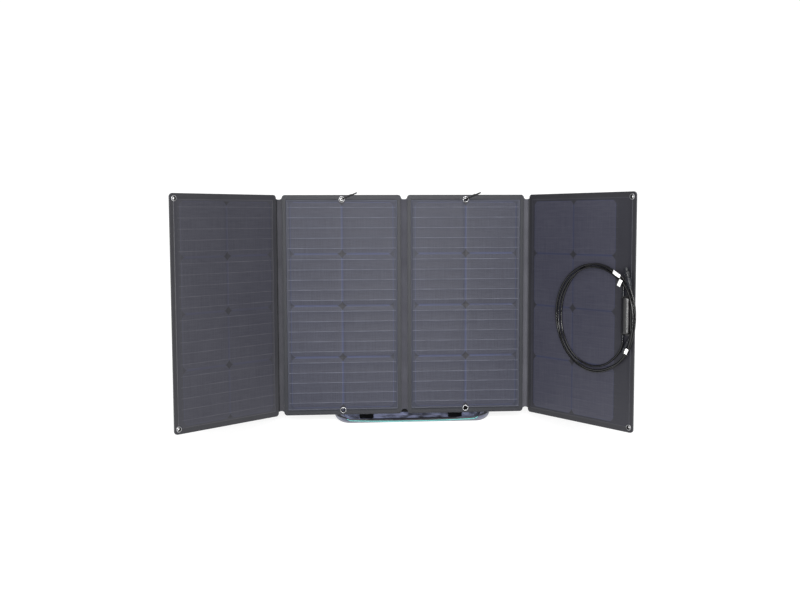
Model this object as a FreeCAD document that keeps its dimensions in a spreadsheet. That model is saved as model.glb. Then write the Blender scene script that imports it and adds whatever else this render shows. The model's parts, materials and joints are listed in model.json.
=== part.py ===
"""Four-panel folding solar panel on its carry case, which stands behind it as an A-frame.

Millimetres, +Z up, +X to the right seen from the front, origin at the middle of the footprint.
Flat pieces are drawn in the frame of what they belong to: X across, Y up its face and Z out of its
front. That frame is then leaned back, turned about a fold line or hung from the spine.
"""

import FreeCAD, Part
import math
import os
import re

from FreeCAD import Placement, Rotation, Vector
from Sketcher import Constraint

DIMENSIONS = {
    # the four folding panels
    "panel_height": 680,
    "panel_pitch": 384,
    "left_reach": 382,
    "right_reach": 420,
    "seam_width": 20,
    "seam_thick": 1.6,
    "seam_notch": 13,
    "outer_corner": 10,
    "inner_corner": 9,
    "face_gap": 0.2,
    "film_thick": 0.4,
    "border_thick": 0.7,
    "board_thick": 3.6,
    "cover_thick": 0.8,
    # solar cells and their ribbons
    "cell_size": 156.75,
    "cell_gap": 3.25,
    "cell_corner": 8.5,
    "cell_thick": 0.5,
    "ribbon_width": 1.2,
    "ribbon_thick": 0.2,
    "window_margin": 2,
    "window_corner": 8,
    # eyelets
    "corner_hole": 4,
    "corner_rim": 8.5,
    "corner_inset": 14,
    "middle_hole": 5,
    "middle_rim": 9.5,
    "middle_inset": 13,
    "rim_thick": 0.7,
    "barrel_wall": 0.6,
    "barrel_gap": 0.2,
    # pose of the opened kit
    "lean": 15,
    "left_fold": 41,
    "right_fold": 56.5,
    # carry case
    "leaf_width": 432,
    "leaf_height": 672,
    "leaf_drop": 17.5,
    "leaf_shift": 26,
    "leaf_standoff": 17.3,
    "leaf_bottom_corner": 20,
    "leaf_top_corner": 12,
    "lining_thick": 1,
    "stiffener_thick": 4,
    "shell_thick": 1,
    "stiffener_inset": 6,
    "gusset_width": 20,
    "zip_width": 8,
    "gusset_thick": 1.5,
    "spine_depth": 43,
    "spine_thick": 3,
    "patch_width": 44,
    "patch_height": 52,
    "patch_thick": 2.8,
    "patch_drop": 12,
    "patch_foot": 2,
    "webbing_width": 16,
    "webbing_thick": 1.6,
    "handle_width": 30,
    "handle_thick": 6,
    "handle_spread": 75,
    "handle_leg": 80,
    "handle_level": 78,
    # snap hooks
    "hook_wire": 2,
    "hook_bend": 10,
    "hook_leg": 30,
    "gate_wire": 1.7,
    # junction box and leads
    "box_width": 35,
    "box_length": 113,
    "box_base": 3,
    "lid_radius": 13.5,
    "lid_length": 103,
    "lid_wall": 2,
    "lead_radius": 2.75,
    "gland_radius": 4.2,
    "gland_length": 14,
    "gland_lip": 0.5,
    "coil_thick": 11,
    "tag_width": 14,
    "tag_thick": 0.6,
}

doc = FreeCAD.newDocument("folding_solar_kit")
sheet = doc.addObject("Spreadsheet::Sheet", "dims")
for row, (alias, size) in enumerate(DIMENSIONS.items(), start=1):
    sheet.set(f"A{row}", alias.replace("_", " "))
    sheet.set(f"B{row}", str(size))
    sheet.setAlias(f"B{row}", alias)
doc.recompute()

parts = {}


def size(alias):
    """The value of one cell of the sheet."""
    return float(getattr(sheet, alias))


def bind(piece, prop, formula):
    """Bind a property to a formula whose words are aliases of the sheet."""
    piece.setExpression(prop, re.sub(r"[a-z]\w+", r"dims.\g<0>", formula))


def worked_out(formula):
    """The number that a formula of the sheet's words comes to."""
    sheet.set("D1", f"={formula}")
    sheet.recompute()
    number = float(sheet.get("D1"))
    sheet.clear("D1")
    return number


def keep(name, piece, frame):
    """Label a finished sub-part, which names its file, and put it in its place."""
    piece.Label = name
    piece.Placement = frame
    parts[name] = piece
    return piece


def shifted(frame, x=0.0, y=0.0, z=0.0, turn=None):
    """A frame moved, and then turned, in its own axes."""
    return frame.multiply(Placement(Vector(x, y, z), turn or Rotation()))


# ---------------------------------------------------------------- frames

UP_THE_FACE = Rotation(Vector(1, 0, 0), 90 - size("lean"))
FACE = Placement(Vector(0, 0, 0), UP_THE_FACE)
LEFT_WING = shifted(
    FACE, -size("panel_pitch"), turn=Rotation(Vector(0, 1, 0), size("left_fold"))
)
RIGHT_WING = shifted(
    FACE, size("panel_pitch"), turn=Rotation(Vector(0, 1, 0), -size("right_fold"))
)
FRONT_LEAF = shifted(FACE, size("leaf_shift"), -size("leaf_drop"), -size("leaf_standoff"))
LEAF_RUN = 2 * size("leaf_height") * math.sin(math.radians(size("lean"))) + size("spine_depth")
REAR_LEAF = Placement(
    FRONT_LEAF.Base + Vector(0, LEAF_RUN, 0),
    Rotation(Vector(0, 0, 1), 180).multiply(UP_THE_FACE),
)
FRONT = -size("face_gap")
FILM_BACK = FRONT - size("film_thick")
BORDER_BACK = FILM_BACK - size("border_thick")
BOARD_BACK = BORDER_BACK - size("board_thick")
PANEL_BACK = BOARD_BACK - size("cover_thick")
LEAF_FACE = size("lining_thick") + size("stiffener_thick") + size("shell_thick")
LEAF_MIDDLE = size("leaf_width") / 2


# ---------------------------------------------------------------- ways to make a piece


def brick(name, length, width, height, corner=(0, 0, 0)):
    box = doc.addObject("Part::Box", name)
    bind(box, "Length", length)
    bind(box, "Width", width)
    bind(box, "Height", height)
    box.Placement.Base = Vector(*corner)
    return box


def rod(name, radius, length, foot=(0, 0, 0), along=(0, 0, 1)):
    cylinder = doc.addObject("Part::Cylinder", name)
    bind(cylinder, "Radius", radius)
    bind(cylinder, "Height", length)
    turn = Rotation(Vector(0, 0, 1), Vector(*along))
    cylinder.Placement = Placement(Vector(*foot), turn)
    return cylinder


def fused(name, pieces):
    fuse = doc.addObject("Part::MultiFuse", name)
    fuse.Shapes = pieces
    return fuse


def cut(name, base, tool):
    result = doc.addObject("Part::Cut", name)
    result.Base = base
    result.Tool = tool
    return result


def group(name, pieces):
    compound = doc.addObject("Part::Compound", name)
    compound.Links = pieces
    return compound


def pin_to_axis(sketch, geometry, direction, formula, label):
    """Hold a point of a sketch at a distance from the sketch's origin."""
    if formula == "0":
        axis = -2 if direction == "DistanceX" else -1
        sketch.addConstraint(Constraint("PointOnObject", *geometry, axis))
        return
    distance = worked_out(formula)
    index = sketch.addConstraint(Constraint(direction, -1, 1, *geometry, distance))
    sketch.renameConstraint(index, label)
    bind(sketch, f"Constraints.{label}", formula)


def rounded_loop(sketch, label, low, high, radii):
    """A rectangle with four rounded corners, held by its four sides and its radii.

    low and high are the formulas of two opposite corners; radii go anticlockwise from low.
    """
    first = sketch.GeometryCount
    x0, y0 = [worked_out(formula) for formula in low]
    x1, y1 = [worked_out(formula) for formula in high]
    r = [worked_out(formula) for formula in radii]
    ends = [
        ((x0 + r[0], y0), (x1 - r[1], y0)),
        ((x1, y0 + r[1]), (x1, y1 - r[2])),
        ((x1 - r[2], y1), (x0 + r[3], y1)),
        ((x0, y1 - r[3]), (x0, y0 + r[0])),
    ]
    for start, end in ends:
        sketch.addGeometry(Part.LineSegment(Vector(*start, 0), Vector(*end, 0)), False)
    centres = [
        (x0 + r[0], y0 + r[0]), (x1 - r[1], y0 + r[1]),
        (x1 - r[2], y1 - r[2]), (x0 + r[3], y1 - r[3]),
    ]
    for centre, radius, start in zip(centres, r, (180, 270, 0, 90)):
        circle = Part.Circle(Vector(*centre, 0), Vector(0, 0, 1), radius)
        arc = Part.ArcOfCircle(circle, math.radians(start), math.radians(start + 90))
        sketch.addGeometry(arc, False)
    for side in range(4):
        line = first + side
        arc_before = first + 4 + side
        arc_after = first + 4 + (side + 1) % 4
        sketch.addConstraint(Constraint("Tangent", line, 1, arc_before, 2))
        sketch.addConstraint(Constraint("Tangent", line, 2, arc_after, 1))
        sketch.addConstraint(Constraint("Vertical" if side % 2 else "Horizontal", line))
        index = sketch.addConstraint(Constraint("Radius", arc_before, r[side]))
        sketch.renameConstraint(index, f"{label}_radius_{side}")
        bind(sketch, f"Constraints.{label}_radius_{side}", radii[side])
    pin_to_axis(sketch, (first + 3, 1), "DistanceX", low[0], f"{label}_left")
    pin_to_axis(sketch, (first, 1), "DistanceY", low[1], f"{label}_bottom")
    pin_to_axis(sketch, (first + 1, 1), "DistanceX", high[0], f"{label}_right")
    pin_to_axis(sketch, (first + 2, 1), "DistanceY", high[1], f"{label}_top")


def flat_sketch(body, name):
    sketch = body.newObject("Sketcher::SketchObject", name)
    planes = [o for o in body.Origin.OriginFeatures if o.Role == "XY_Plane"]
    sketch.AttachmentSupport = [(planes[0], "")]
    sketch.MapMode = "FlatFace"
    return sketch


def plate(name, width, height, thick, radii, holes=(), window=None):
    """A flat piece with rounded corners, round holes and perhaps a rounded window."""
    body = doc.addObject("PartDesign::Body", name)
    sketch = flat_sketch(body, name + "_outline")
    rounded_loop(sketch, "edge", ("0", "0"), (width, height), radii)
    if window:
        low, high, window_radii = window
        rounded_loop(sketch, "window", low, high, window_radii)
    for number, (x, y, radius) in enumerate(holes):
        middle = Vector(worked_out(x), worked_out(y), 0)
        circle = Part.Circle(middle, Vector(0, 0, 1), worked_out(radius))
        index = sketch.addGeometry(circle, False)
        pin_to_axis(sketch, (index, 3), "DistanceX", x, f"hole_x_{number}")
        pin_to_axis(sketch, (index, 3), "DistanceY", y, f"hole_y_{number}")
        held = sketch.addConstraint(Constraint("Radius", index, worked_out(radius)))
        sketch.renameConstraint(held, f"hole_radius_{number}")
        bind(sketch, f"Constraints.hole_radius_{number}", radius)
    pad = body.newObject("PartDesign::Pad", name + "_pad")
    pad.Profile = sketch
    bind(pad, "Length", thick)
    return body


def tube(name, route, frame, radius):
    """A round cord along straight runs joined by tangent arcs as large as the runs allow."""
    points = [Vector(*point) for point in route]
    edges = []
    radii = []
    start = points[0]
    for before, corner, after in zip(points, points[1:], points[2:]):
        back = (before - corner).normalize()
        onward = (after - corner).normalize()
        shorter = min(before.distanceToPoint(corner), corner.distanceToPoint(after))
        half_turn = (math.pi - back.getAngle(onward)) / 2
        trim = 0.45 * shorter
        radii.append(trim / math.tan(half_turn))
        arc_start = corner + back * trim
        arc_end = corner + onward * trim
        chord_middle = (arc_start + arc_end) * 0.5
        centre_to_corner = radii[-1] / math.cos(half_turn)
        inward = (chord_middle - corner).normalize()
        arc_middle = corner + inward * (centre_to_corner - radii[-1])
        edges.append(Part.LineSegment(start, arc_start).toShape())
        edges.append(Part.Arc(arc_start, arc_middle, arc_end).toShape())
        start = arc_end
    edges.append(Part.LineSegment(start, points[-1]).toShape())
    path = Part.Wire(edges)
    section = Part.Wire(Part.Circle(points[0], points[1] - points[0], radius).toShape())
    solid = path.makePipeShell([section], True, False)
    expected = math.pi * radius**2 * path.Length
    print(
        f"{name}: length {path.Length:.0f} mm, tightest radius {min(radii):.1f} mm,"
        f" volume against section times length {solid.Volume / expected:.3f}"
    )
    feature = doc.addObject("Part::Feature", name)
    feature.Shape = solid
    return keep(name, feature, frame)


# ---------------------------------------------------------------- panels

RIBBONS_PER_CELL = 5
UPRIGHT_EDGES = (1, 3, 5, 7)


def panel_side_margin(number):
    """How far the first column of cells stands from the panel's left edge."""
    wide = 2 * size("cell_size") + size("cell_gap")
    margin = (size("panel_pitch") - wide - size("seam_width")) / 2
    if number == 1:
        return size("left_reach") - size("seam_width") / 2 - wide - margin
    return margin


def panel_plates(number, from_fold, reach, corner_radii, holes):
    """The sheets a panel is laminated from, each in its place in the panel's frame."""
    wide, tall = "(2 * cell_size + cell_gap)", "(4 * cell_size + 3 * cell_gap)"
    side = "(panel_pitch - 2 * cell_size - cell_gap - seam_width) / 2"
    if number == 1:
        side = f"{reach} - {wide} - {side}"
    low = f"(panel_height - {tall}) / 2"
    window = (
        (f"{side} - window_margin", f"{low} - window_margin"),
        (f"{side} + {wide} + window_margin", f"{low} + {tall} + window_margin"),
        ["window_corner"] * 4,
    )
    layers = [
        ("back_cover", "cover_thick", PANEL_BACK, None),
        ("backing_board", "board_thick", BOARD_BACK, None),
        ("border", "border_thick", BORDER_BACK, window),
        ("front_film", "film_thick", FILM_BACK, None),
    ]
    made = {}
    for layer, thick, level, opening in layers:
        name = f"sheet_{number}_{layer}"
        piece = plate(name, reach, "panel_height", thick, corner_radii, holes, opening)
        piece.Placement = Placement(Vector(from_fold, 0, level), Rotation())
        made[layer] = [piece]
    return made


def panel_cells(number, from_fold):
    """Two columns of four cells with their corners cut off, and the ribbons across each row."""
    pitch = size("cell_size") + size("cell_gap")
    tall = 4 * size("cell_size") + 3 * size("cell_gap")
    left = from_fold + panel_side_margin(number)
    bottom = (size("panel_height") - tall) / 2
    corner = size("cell_corner")
    cells = []
    ribbons = []
    for row in range(4):
        y = bottom + row * pitch
        for column in range(2):
            cell = brick(
                f"cell_{number}", "cell_size", "cell_size", "cell_thick",
                (left + column * pitch, y, BORDER_BACK),
            )
            chamfer = doc.addObject("Part::Chamfer", f"cell_{number}_corners")
            chamfer.Base = cell
            chamfer.Edges = [(edge, corner, corner) for edge in UPRIGHT_EDGES]
            cells.append(chamfer)
        for strip in range(RIBBONS_PER_CELL):
            share = (strip + 0.5) / RIBBONS_PER_CELL
            across = y + size("cell_size") * share - size("ribbon_width") / 2
            ribbon = brick(
                f"ribbon_{number}", "2 * cell_size + cell_gap", "ribbon_width", "ribbon_thick",
                (left, across, BORDER_BACK + size("cell_thick")),
            )
            ribbons.append(ribbon)
    return {"cells": cells, "ribbons": ribbons}


def make_panel(number, from_fold, reach, corner_radii, holes):
    made = panel_plates(number, from_fold, reach, corner_radii, holes)
    made.update(panel_cells(number, from_fold))
    return made


def make_panels():
    """The two wings, and the two middle panels, whose like sheets share a node."""
    half_seam = size("seam_width") / 2
    inner, outer = "inner_corner", "outer_corner"
    corner_hole = "corner_hole + barrel_wall + barrel_gap"
    middle_hole = "middle_hole + barrel_wall + barrel_gap"
    left_width = "left_reach - seam_width / 2"
    right_width = "right_reach - seam_width / 2"
    middle_width = "panel_pitch - seam_width"
    heights = ("corner_inset", "panel_height - corner_inset")
    far_x = f"{right_width} - corner_inset"
    left_holes = [("corner_inset", y, corner_hole) for y in heights]
    right_holes = [(far_x, y, corner_hole) for y in heights]
    middle_holes = [
        (f"({middle_width}) / 2", y, middle_hole)
        for y in ("middle_inset", "panel_height - middle_inset")
    ]
    left = make_panel(
        1, -size("left_reach"), left_width, [outer, inner, inner, outer], left_holes
    )
    right = make_panel(4, half_seam, right_width, [inner, outer, outer, inner], right_holes)
    for side, made, frame in (("left", left, LEFT_WING), ("right", right, RIGHT_WING)):
        for layer, pieces in made.items():
            keep(f"{side}_{layer}", group(f"{side}_{layer}", pieces), frame)

    second = make_panel(
        2, half_seam - size("panel_pitch"), middle_width, [inner] * 4, middle_holes
    )
    third = make_panel(3, half_seam, middle_width, [inner] * 4, middle_holes)
    for side, made in (("second", second), ("third", third)):
        board = made.pop("backing_board")
        keep(f"{side}_backing_board", group(f"{side}_backing_board", board), FACE)
    for layer in second:
        name = f"middle_{layer}"
        keep(name, group(name, second[layer] + third[layer]), FACE)


def eyelet(name, x, y, hole, rim):
    """A two-piece eyelet clinched through a panel: a barrel with a rim on each face."""
    length = "film_thick + border_thick + board_thick + cover_thick + 2 * rim_thick"
    foot = PANEL_BACK - size("rim_thick")
    solid = fused(
        f"{name}_metal",
        [
            rod(f"{name}_barrel", f"{hole} + barrel_wall", length, (x, y, foot)),
            rod(f"{name}_back_rim", rim, "rim_thick", (x, y, foot)),
            rod(f"{name}_front_rim", rim, "rim_thick", (x, y, FRONT)),
        ],
    )
    return cut(name, solid, rod(f"{name}_bore", hole, length, (x, y, foot)))


def make_eyelets():
    bottom = size("corner_inset")
    top = size("panel_height") - bottom
    for side, frame, x in (
        ("left", LEFT_WING, bottom - size("left_reach")),
        ("right", RIGHT_WING, size("right_reach") - bottom),
    ):
        rings = [
            eyelet(f"eyelet_{side}_{number}", x, y, "corner_hole", "corner_rim")
            for number, y in enumerate((bottom, top))
        ]
        keep(f"eyelets_{side}", group(f"eyelets_{side}", rings), frame)
    half = size("panel_pitch") / 2
    inset = size("middle_inset")
    rings = [
        eyelet(f"eyelet_middle_{x:.0f}_{y:.0f}", x, y, "middle_hole", "middle_rim")
        for x in (-half, half)
        for y in (inset, size("panel_height") - inset)
    ]
    keep("eyelets_middle", group("eyelets_middle", rings), FACE)


def make_seams():
    """The fabric between two panels: flat at the middle, bent round the fold line at the wings."""
    length = "panel_height - 2 * seam_notch"
    back = (FRONT + PANEL_BACK) / 2 - size("seam_thick") / 2
    notch = size("seam_notch")
    half = size("seam_width") / 2
    middle = brick("seam_flat", "seam_width", length, "seam_thick", (-half, notch, back))
    keep("seam_centre", group("seam_centre", [middle]), FACE)
    outer_radius = -back
    inner_radius = outer_radius - size("seam_thick")
    for side, fold, frame, sign in (
        ("left", "left_fold", LEFT_WING, 1),
        ("right", "right_fold", RIGHT_WING, -1),
    ):
        angle = size(fold)
        wing_start = -half if sign > 0 else 0.0
        wing_half = brick(
            f"seam_{side}_wing", "seam_width / 2", length, "seam_thick", (wing_start, notch, back)
        )
        fixed_half = brick(
            f"seam_{side}_fixed", "seam_width / 2", length, "seam_thick",
            (0.0 if sign > 0 else -half, notch, back),
        )
        turned = Rotation(Vector(0, 1, 0), -sign * angle)
        fixed_half.Placement = Placement(Vector(), turned).multiply(fixed_half.Placement)
        sectors = []
        for role, radius in (("skin", outer_radius), ("core", inner_radius)):
            sector = rod(f"seam_{side}_{role}", f"{radius}", length, (0, notch, 0), (0, 1, 0))
            bind(sector, "Angle", fold)
            sectors.append(sector)
        straight_back = Rotation(Vector(1, 0, 0), -90)
        for sector in sectors:
            # the sector fills the turn between the backs of the two halves
            first = 90 - angle if sign > 0 else 90
            spin = Rotation(Vector(0, 0, 1), first)
            sector.Placement.Rotation = straight_back.multiply(spin)
        bend = cut(f"seam_{side}_bend", *sectors)
        keep(f"seam_{side}", fused(f"seam_{side}", [wing_half, bend, fixed_half]), frame)


# ---------------------------------------------------------------- carry case


GUSSET_STOP = 40
CORNER_STEPS = 8


def leaf_outline_point(along):
    """A point of the leaf's edge and how far it has turned from the side to the bottom.

    along runs 0 to 1 down the left side, to 2 round the corner, to 3 across the bottom,
    to 4 round the other corner and to 5 up the right side.
    """
    width, height, corner = size("leaf_width"), size("leaf_height"), size("leaf_bottom_corner")
    side_top = height - GUSSET_STOP
    if along <= 1:
        return Vector(0, side_top + (corner - side_top) * along, 0), 0.0
    if along < 2:
        turn = math.radians(90 * (along - 1))
        return Vector(corner * (1 - math.cos(turn)), corner * (1 - math.sin(turn)), 0), along - 1
    if along <= 3:
        return Vector(corner + (width - 2 * corner) * (along - 2), 0, 0), 1.0
    mirror, turned = leaf_outline_point(5 - along)
    return Vector(width - mirror.x, mirror.y, 0), turned


def gusset_direction(along, turned):
    """Which way the soft gusset lies: out sideways up the sides, out over the floor below."""
    lean = math.radians(size("lean"))
    over_floor = Vector(0, -math.sin(lean), math.cos(lean))
    sideways = Vector(-1 if along < 2.5 else 1, 0, 0)
    quarter = turned * math.pi / 2
    return sideways * math.cos(quarter) + over_floor * math.sin(quarter)


def leaf_band(name, near, far, frame):
    """A strip along the leaf's open edge, between two distances out from that edge."""
    stations = [0.0, 1.0] + [1 + step / CORNER_STEPS for step in range(1, CORNER_STEPS)] + [2.0, 2.5]
    stations += [5 - along for along in reversed(stations[:-1])]
    thick = size("gusset_thick")
    sections = []
    for along in stations:
        edge, turned = leaf_outline_point(along)
        out = gusset_direction(along, turned)
        quarter = turned * math.pi / 2
        tangent = Vector(math.sin(quarter), -math.cos(quarter), 0)
        if along > 2.5:
            tangent = Vector(math.sin(quarter), math.cos(quarter), 0)
        across = out.cross(tangent).normalize() * (thick / 2)
        corners = [
            edge + out * near - across,
            edge + out * far - across,
            edge + out * far + across,
            edge + out * near + across,
        ]
        sections.append(Part.makePolygon(corners + corners[:1]))
    feature = doc.addObject("Part::Feature", name)
    feature.Shape = Part.makeLoft(sections, True, True)
    return keep(name, feature, frame)


PATCH_SPOTS = (-145, 134)
GUSSET_TUCK = 0.2
SPINE_GAP = 0.9
SPINE_TUCK = 0.5


def make_leaf(side, frame):
    """One half of the carry case: lining, stiffener, outer shell, edge binding and gusset."""
    corners = ["leaf_bottom_corner"] * 2 + ["leaf_top_corner"] * 2
    inset_corners = [f"{corner} - stiffener_inset" for corner in corners]
    layers = [
        ("lining", "lining_thick", 0.0),
        ("shell", "shell_thick", LEAF_FACE - size("shell_thick")),
    ]
    for layer, thick, level in layers:
        piece = plate(f"case_{side}_{layer}", "leaf_width", "leaf_height", thick, corners)
        keep(f"case_{side}_{layer}", piece, shifted(frame, -LEAF_MIDDLE, 0, level))
    inset = size("stiffener_inset")
    board = plate(
        f"case_{side}_stiffener", "leaf_width - 2 * stiffener_inset",
        "leaf_height - 2 * stiffener_inset", "stiffener_thick", inset_corners,
    )
    level = size("lining_thick")
    keep(f"case_{side}_stiffener", board, shifted(frame, inset - LEAF_MIDDLE, inset, level))
    window = (
        ("stiffener_inset", "stiffener_inset"),
        ("leaf_width - stiffener_inset", "leaf_height - stiffener_inset"),
        inset_corners,
    )
    binding = plate(
        f"case_{side}_binding", "leaf_width", "leaf_height", "stiffener_thick", corners,
        window=window,
    )
    keep(f"case_{side}_binding", binding, shifted(frame, -LEAF_MIDDLE, 0, level))
    edge = shifted(frame, -LEAF_MIDDLE, -GUSSET_TUCK * size("gusset_thick"), LEAF_FACE / 2)
    gusset = size("gusset_width")
    leaf_band(f"case_{side}_gusset", 0.0, gusset, edge)
    leaf_band(f"case_{side}_zip", gusset, gusset + size("zip_width"), edge)


def make_case():
    make_leaf("front", FRONT_LEAF)
    make_leaf("rear", REAR_LEAF)
    top = shifted(FRONT_LEAF, 0, size("leaf_height"), 0).Base
    spine = brick(
        "spine_strip", "leaf_width", f"spine_depth - {SPINE_GAP - SPINE_TUCK}", "spine_thick",
        (top.x - LEAF_MIDDLE, top.y - SPINE_TUCK, top.z - size("spine_thick")),
    )
    keep("case_spine", group("case_spine", [spine]), Placement())


def make_patches():
    """Hook-and-loop patches that hold the panels' foot against the front leaf."""
    face = LEAF_FACE - size("leaf_standoff")
    patches = []
    for x in PATCH_SPOTS:
        left = x + size("leaf_shift") - size("patch_width") / 2
        patches.append(
            brick(
                "patch_loop", "patch_width", "patch_height", "patch_thick",
                (left, -size("patch_drop"), face),
            )
        )
        level = face + size("patch_thick")
        patches.append(
            brick(
                "patch_hook", "patch_width", "patch_height - patch_drop - patch_foot",
                f"{PANEL_BACK - level}", (left, size("patch_foot"), level),
            )
        )
    keep("hook_and_loop_patches", group("hook_and_loop_patches", patches), FACE)


def make_handle():
    """The carrying handle: two webbing legs sewn to the rear leaf and a padded grip."""
    spread, width = size("handle_spread"), size("handle_width")
    legs = [
        brick(
            "handle_strap", "handle_width", "handle_leg", "webbing_thick",
            (x - width / 2, size("handle_level"), LEAF_FACE),
        )
        for x in (-spread, spread)
    ]
    grip = brick(
        "handle_grip", "2 * handle_spread - handle_width", "handle_width", "handle_thick",
        (width / 2 - spread, size("handle_level"), LEAF_FACE),
    )
    keep("carry_handle", fused("carry_handle", legs + [grip]), REAR_LEAF)


# ---------------------------------------------------------------- snap hooks

HOOK_RISE = 23.5
NOSE_REACH = 1.5
PIVOT_INSET = 3.3
PIVOT_RADIUS = 0.6
PIVOT_CLEARANCE = 0.06
EYE_RADIUS = 1.6
EYE_THICK = 2.0
CHEEK_RADIUS = 2.2
CHEEK_THICK = 0.75
SIDE_CLEARANCE = 0.1
GATE_GAP = 0.4
NECK_WIDTH = 2.4
STRAP_START = 19.0
STRAP_TAIL = 40.0
STRAP_CLEARANCE = 0.3


def hook_frame(eyelet_x):
    """A hook's own frame: X along it, Y out of the panel, Z square to its flat side."""
    rise = math.radians(HOOK_RISE)
    along = Vector(math.cos(rise), math.sin(rise), 0)
    out = Vector(0, 0, 1)
    turn = Rotation(along, out, along.cross(out), "XYZ")
    height = size("panel_height") - size("middle_inset")
    return shifted(FACE, eyelet_x, height, (FRONT + PANEL_BACK) / 2, turn)


def hook_wire():
    """Round wire bent into an oval that is open along its front leg, where the gate closes it."""
    bend = size("hook_bend")
    far = bend + size("hook_leg")
    nose = bend + NOSE_REACH
    heel = far - NOSE_REACH
    edges = [
        Part.LineSegment(Vector(nose, bend, 0), Vector(bend, bend, 0)),
        Part.Arc(Vector(bend, bend, 0), Vector(0, 0, 0), Vector(bend, -bend, 0)),
        Part.LineSegment(Vector(bend, -bend, 0), Vector(far, -bend, 0)),
        Part.Arc(Vector(far, -bend, 0), Vector(far + bend, 0, 0), Vector(far, bend, 0)),
        Part.LineSegment(Vector(far, bend, 0), Vector(heel, bend, 0)),
    ]
    path = Part.Wire([edge.toShape() for edge in edges])
    ring = Part.Circle(Vector(nose, bend, 0), Vector(1, 0, 0), size("hook_wire"))
    wire = doc.addObject("Part::Feature", "hook_wire")
    wire.Shape = path.makePipeShell([Part.Wire(ring.toShape())], True, False)
    return wire


def gate_pivot():
    return size("hook_bend") + size("hook_leg") - PIVOT_INSET, size("hook_bend")


def hook_body():
    """The wire with two cheeks, one each side of the gate's eye, bored for the pin."""
    x, y = gate_pivot()
    inner = EYE_THICK / 2 + SIDE_CLEARANCE
    cheeks = [
        rod("hook_cheek", f"{CHEEK_RADIUS}", f"{CHEEK_THICK}", (x, y, level))
        for level in (inner, -inner - CHEEK_THICK)
    ]
    solid = fused("hook_solid", [hook_wire()] + cheeks)
    depth = 2 * size("hook_wire")
    bore = rod("pin_bore", f"{PIVOT_RADIUS}", f"{2 * depth}", (x, y, -depth))
    return cut("hook_body", solid, bore)


def hook_gate():
    """The gate: a straight finger, a flat neck and an eye that turns on the pin."""
    x, y = gate_pivot()
    start = size("hook_bend") + NOSE_REACH + GATE_GAP
    end = x - CHEEK_RADIUS - GATE_GAP
    overlap = EYE_RADIUS / 2
    neck_length = x - end + EYE_RADIUS / 2
    finger = rod("gate_finger", "gate_wire", f"{end - start}", (start, y, 0), (1, 0, 0))
    neck = brick(
        "gate_neck", f"{neck_length}", f"{NECK_WIDTH}", f"{EYE_THICK}",
        (end - overlap, y - NECK_WIDTH / 2, -EYE_THICK / 2),
    )
    eye = rod("gate_eye", f"{EYE_RADIUS}", f"{EYE_THICK}", (x, y, -EYE_THICK / 2))
    bore = rod(
        "gate_bore", f"{PIVOT_RADIUS + PIVOT_CLEARANCE}", f"{2 * EYE_THICK}", (x, y, -EYE_THICK)
    )
    return cut("hook_gate", fused("gate_solid", [finger, neck, eye]), bore)


def hook_strap(frame):
    """Webbing looped round the hook's rear leg, with its tail sewn to the front leaf."""
    inner = size("hook_wire") + STRAP_CLEARANCE
    outer = inner + size("webbing_thick")
    start = (STRAP_START, -size("hook_bend"), 0)
    face = LEAF_FACE - size("leaf_standoff") - (FRONT + PANEL_BACK) / 2
    tail = brick(
        "strap_tail", "webbing_width", "webbing_thick", f"{STRAP_TAIL}", (STRAP_START, face, inner)
    )
    loop = rod("strap_loop", f"{outer}", "webbing_width", start, (1, 0, 0))
    opening = rod("strap_opening", f"{inner}", "webbing_width", start, (1, 0, 0))
    strap = cut("hook_strap", fused("strap_solid", [loop, tail]), opening)
    strap.Placement = frame
    return strap


def make_snap_hooks():
    """Two wire snap hooks through the upper middle eyelets, each tied to the case."""
    half = size("panel_pitch") / 2
    x, y = gate_pivot()
    reach = EYE_THICK / 2 + SIDE_CLEARANCE + CHEEK_THICK
    pins = []
    straps = []
    for side, frame in (("left", hook_frame(-half)), ("right", hook_frame(half))):
        keep(f"snap_hook_{side}", hook_body(), frame)
        keep(f"snap_gate_{side}", hook_gate(), frame)
        pin = rod("gate_pin", f"{PIVOT_RADIUS}", f"{2 * reach}")
        pin.Placement = shifted(frame, x, y, -reach)
        pins.append(pin)
        straps.append(hook_strap(frame))
        print(f"gate pivot {side}: {frame.multVec(Vector(x, y, 0))}")
        print(f"gate axis {side}: {frame.Rotation.multVec(Vector(0, 0, 1))}")
    keep("gate_pins", group("gate_pins", pins), Placement())
    keep("hook_webbing", group("hook_webbing", straps), Placement())


# ---------------------------------------------------------------- junction box and leads

BOX_CORNER = (376, 276)
LID_SIDE_STEP = 1.5
BOARD_WIDTH = 16
BOARD_THICK = 1.6
BOARD_INSET = 10
DIODE_RADIUS = 2.6
DIODE_LENGTH = 9
GLAND_X = 384
GLAND_LEVEL = 4.1
COIL_CENTRE = (278.5, 317)
COIL_OUTER = (149, 162)
COIL_BAND = 24
COIL_START = 50
COIL_END = 308
COIL_LEVEL = FRONT + 0.1


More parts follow.
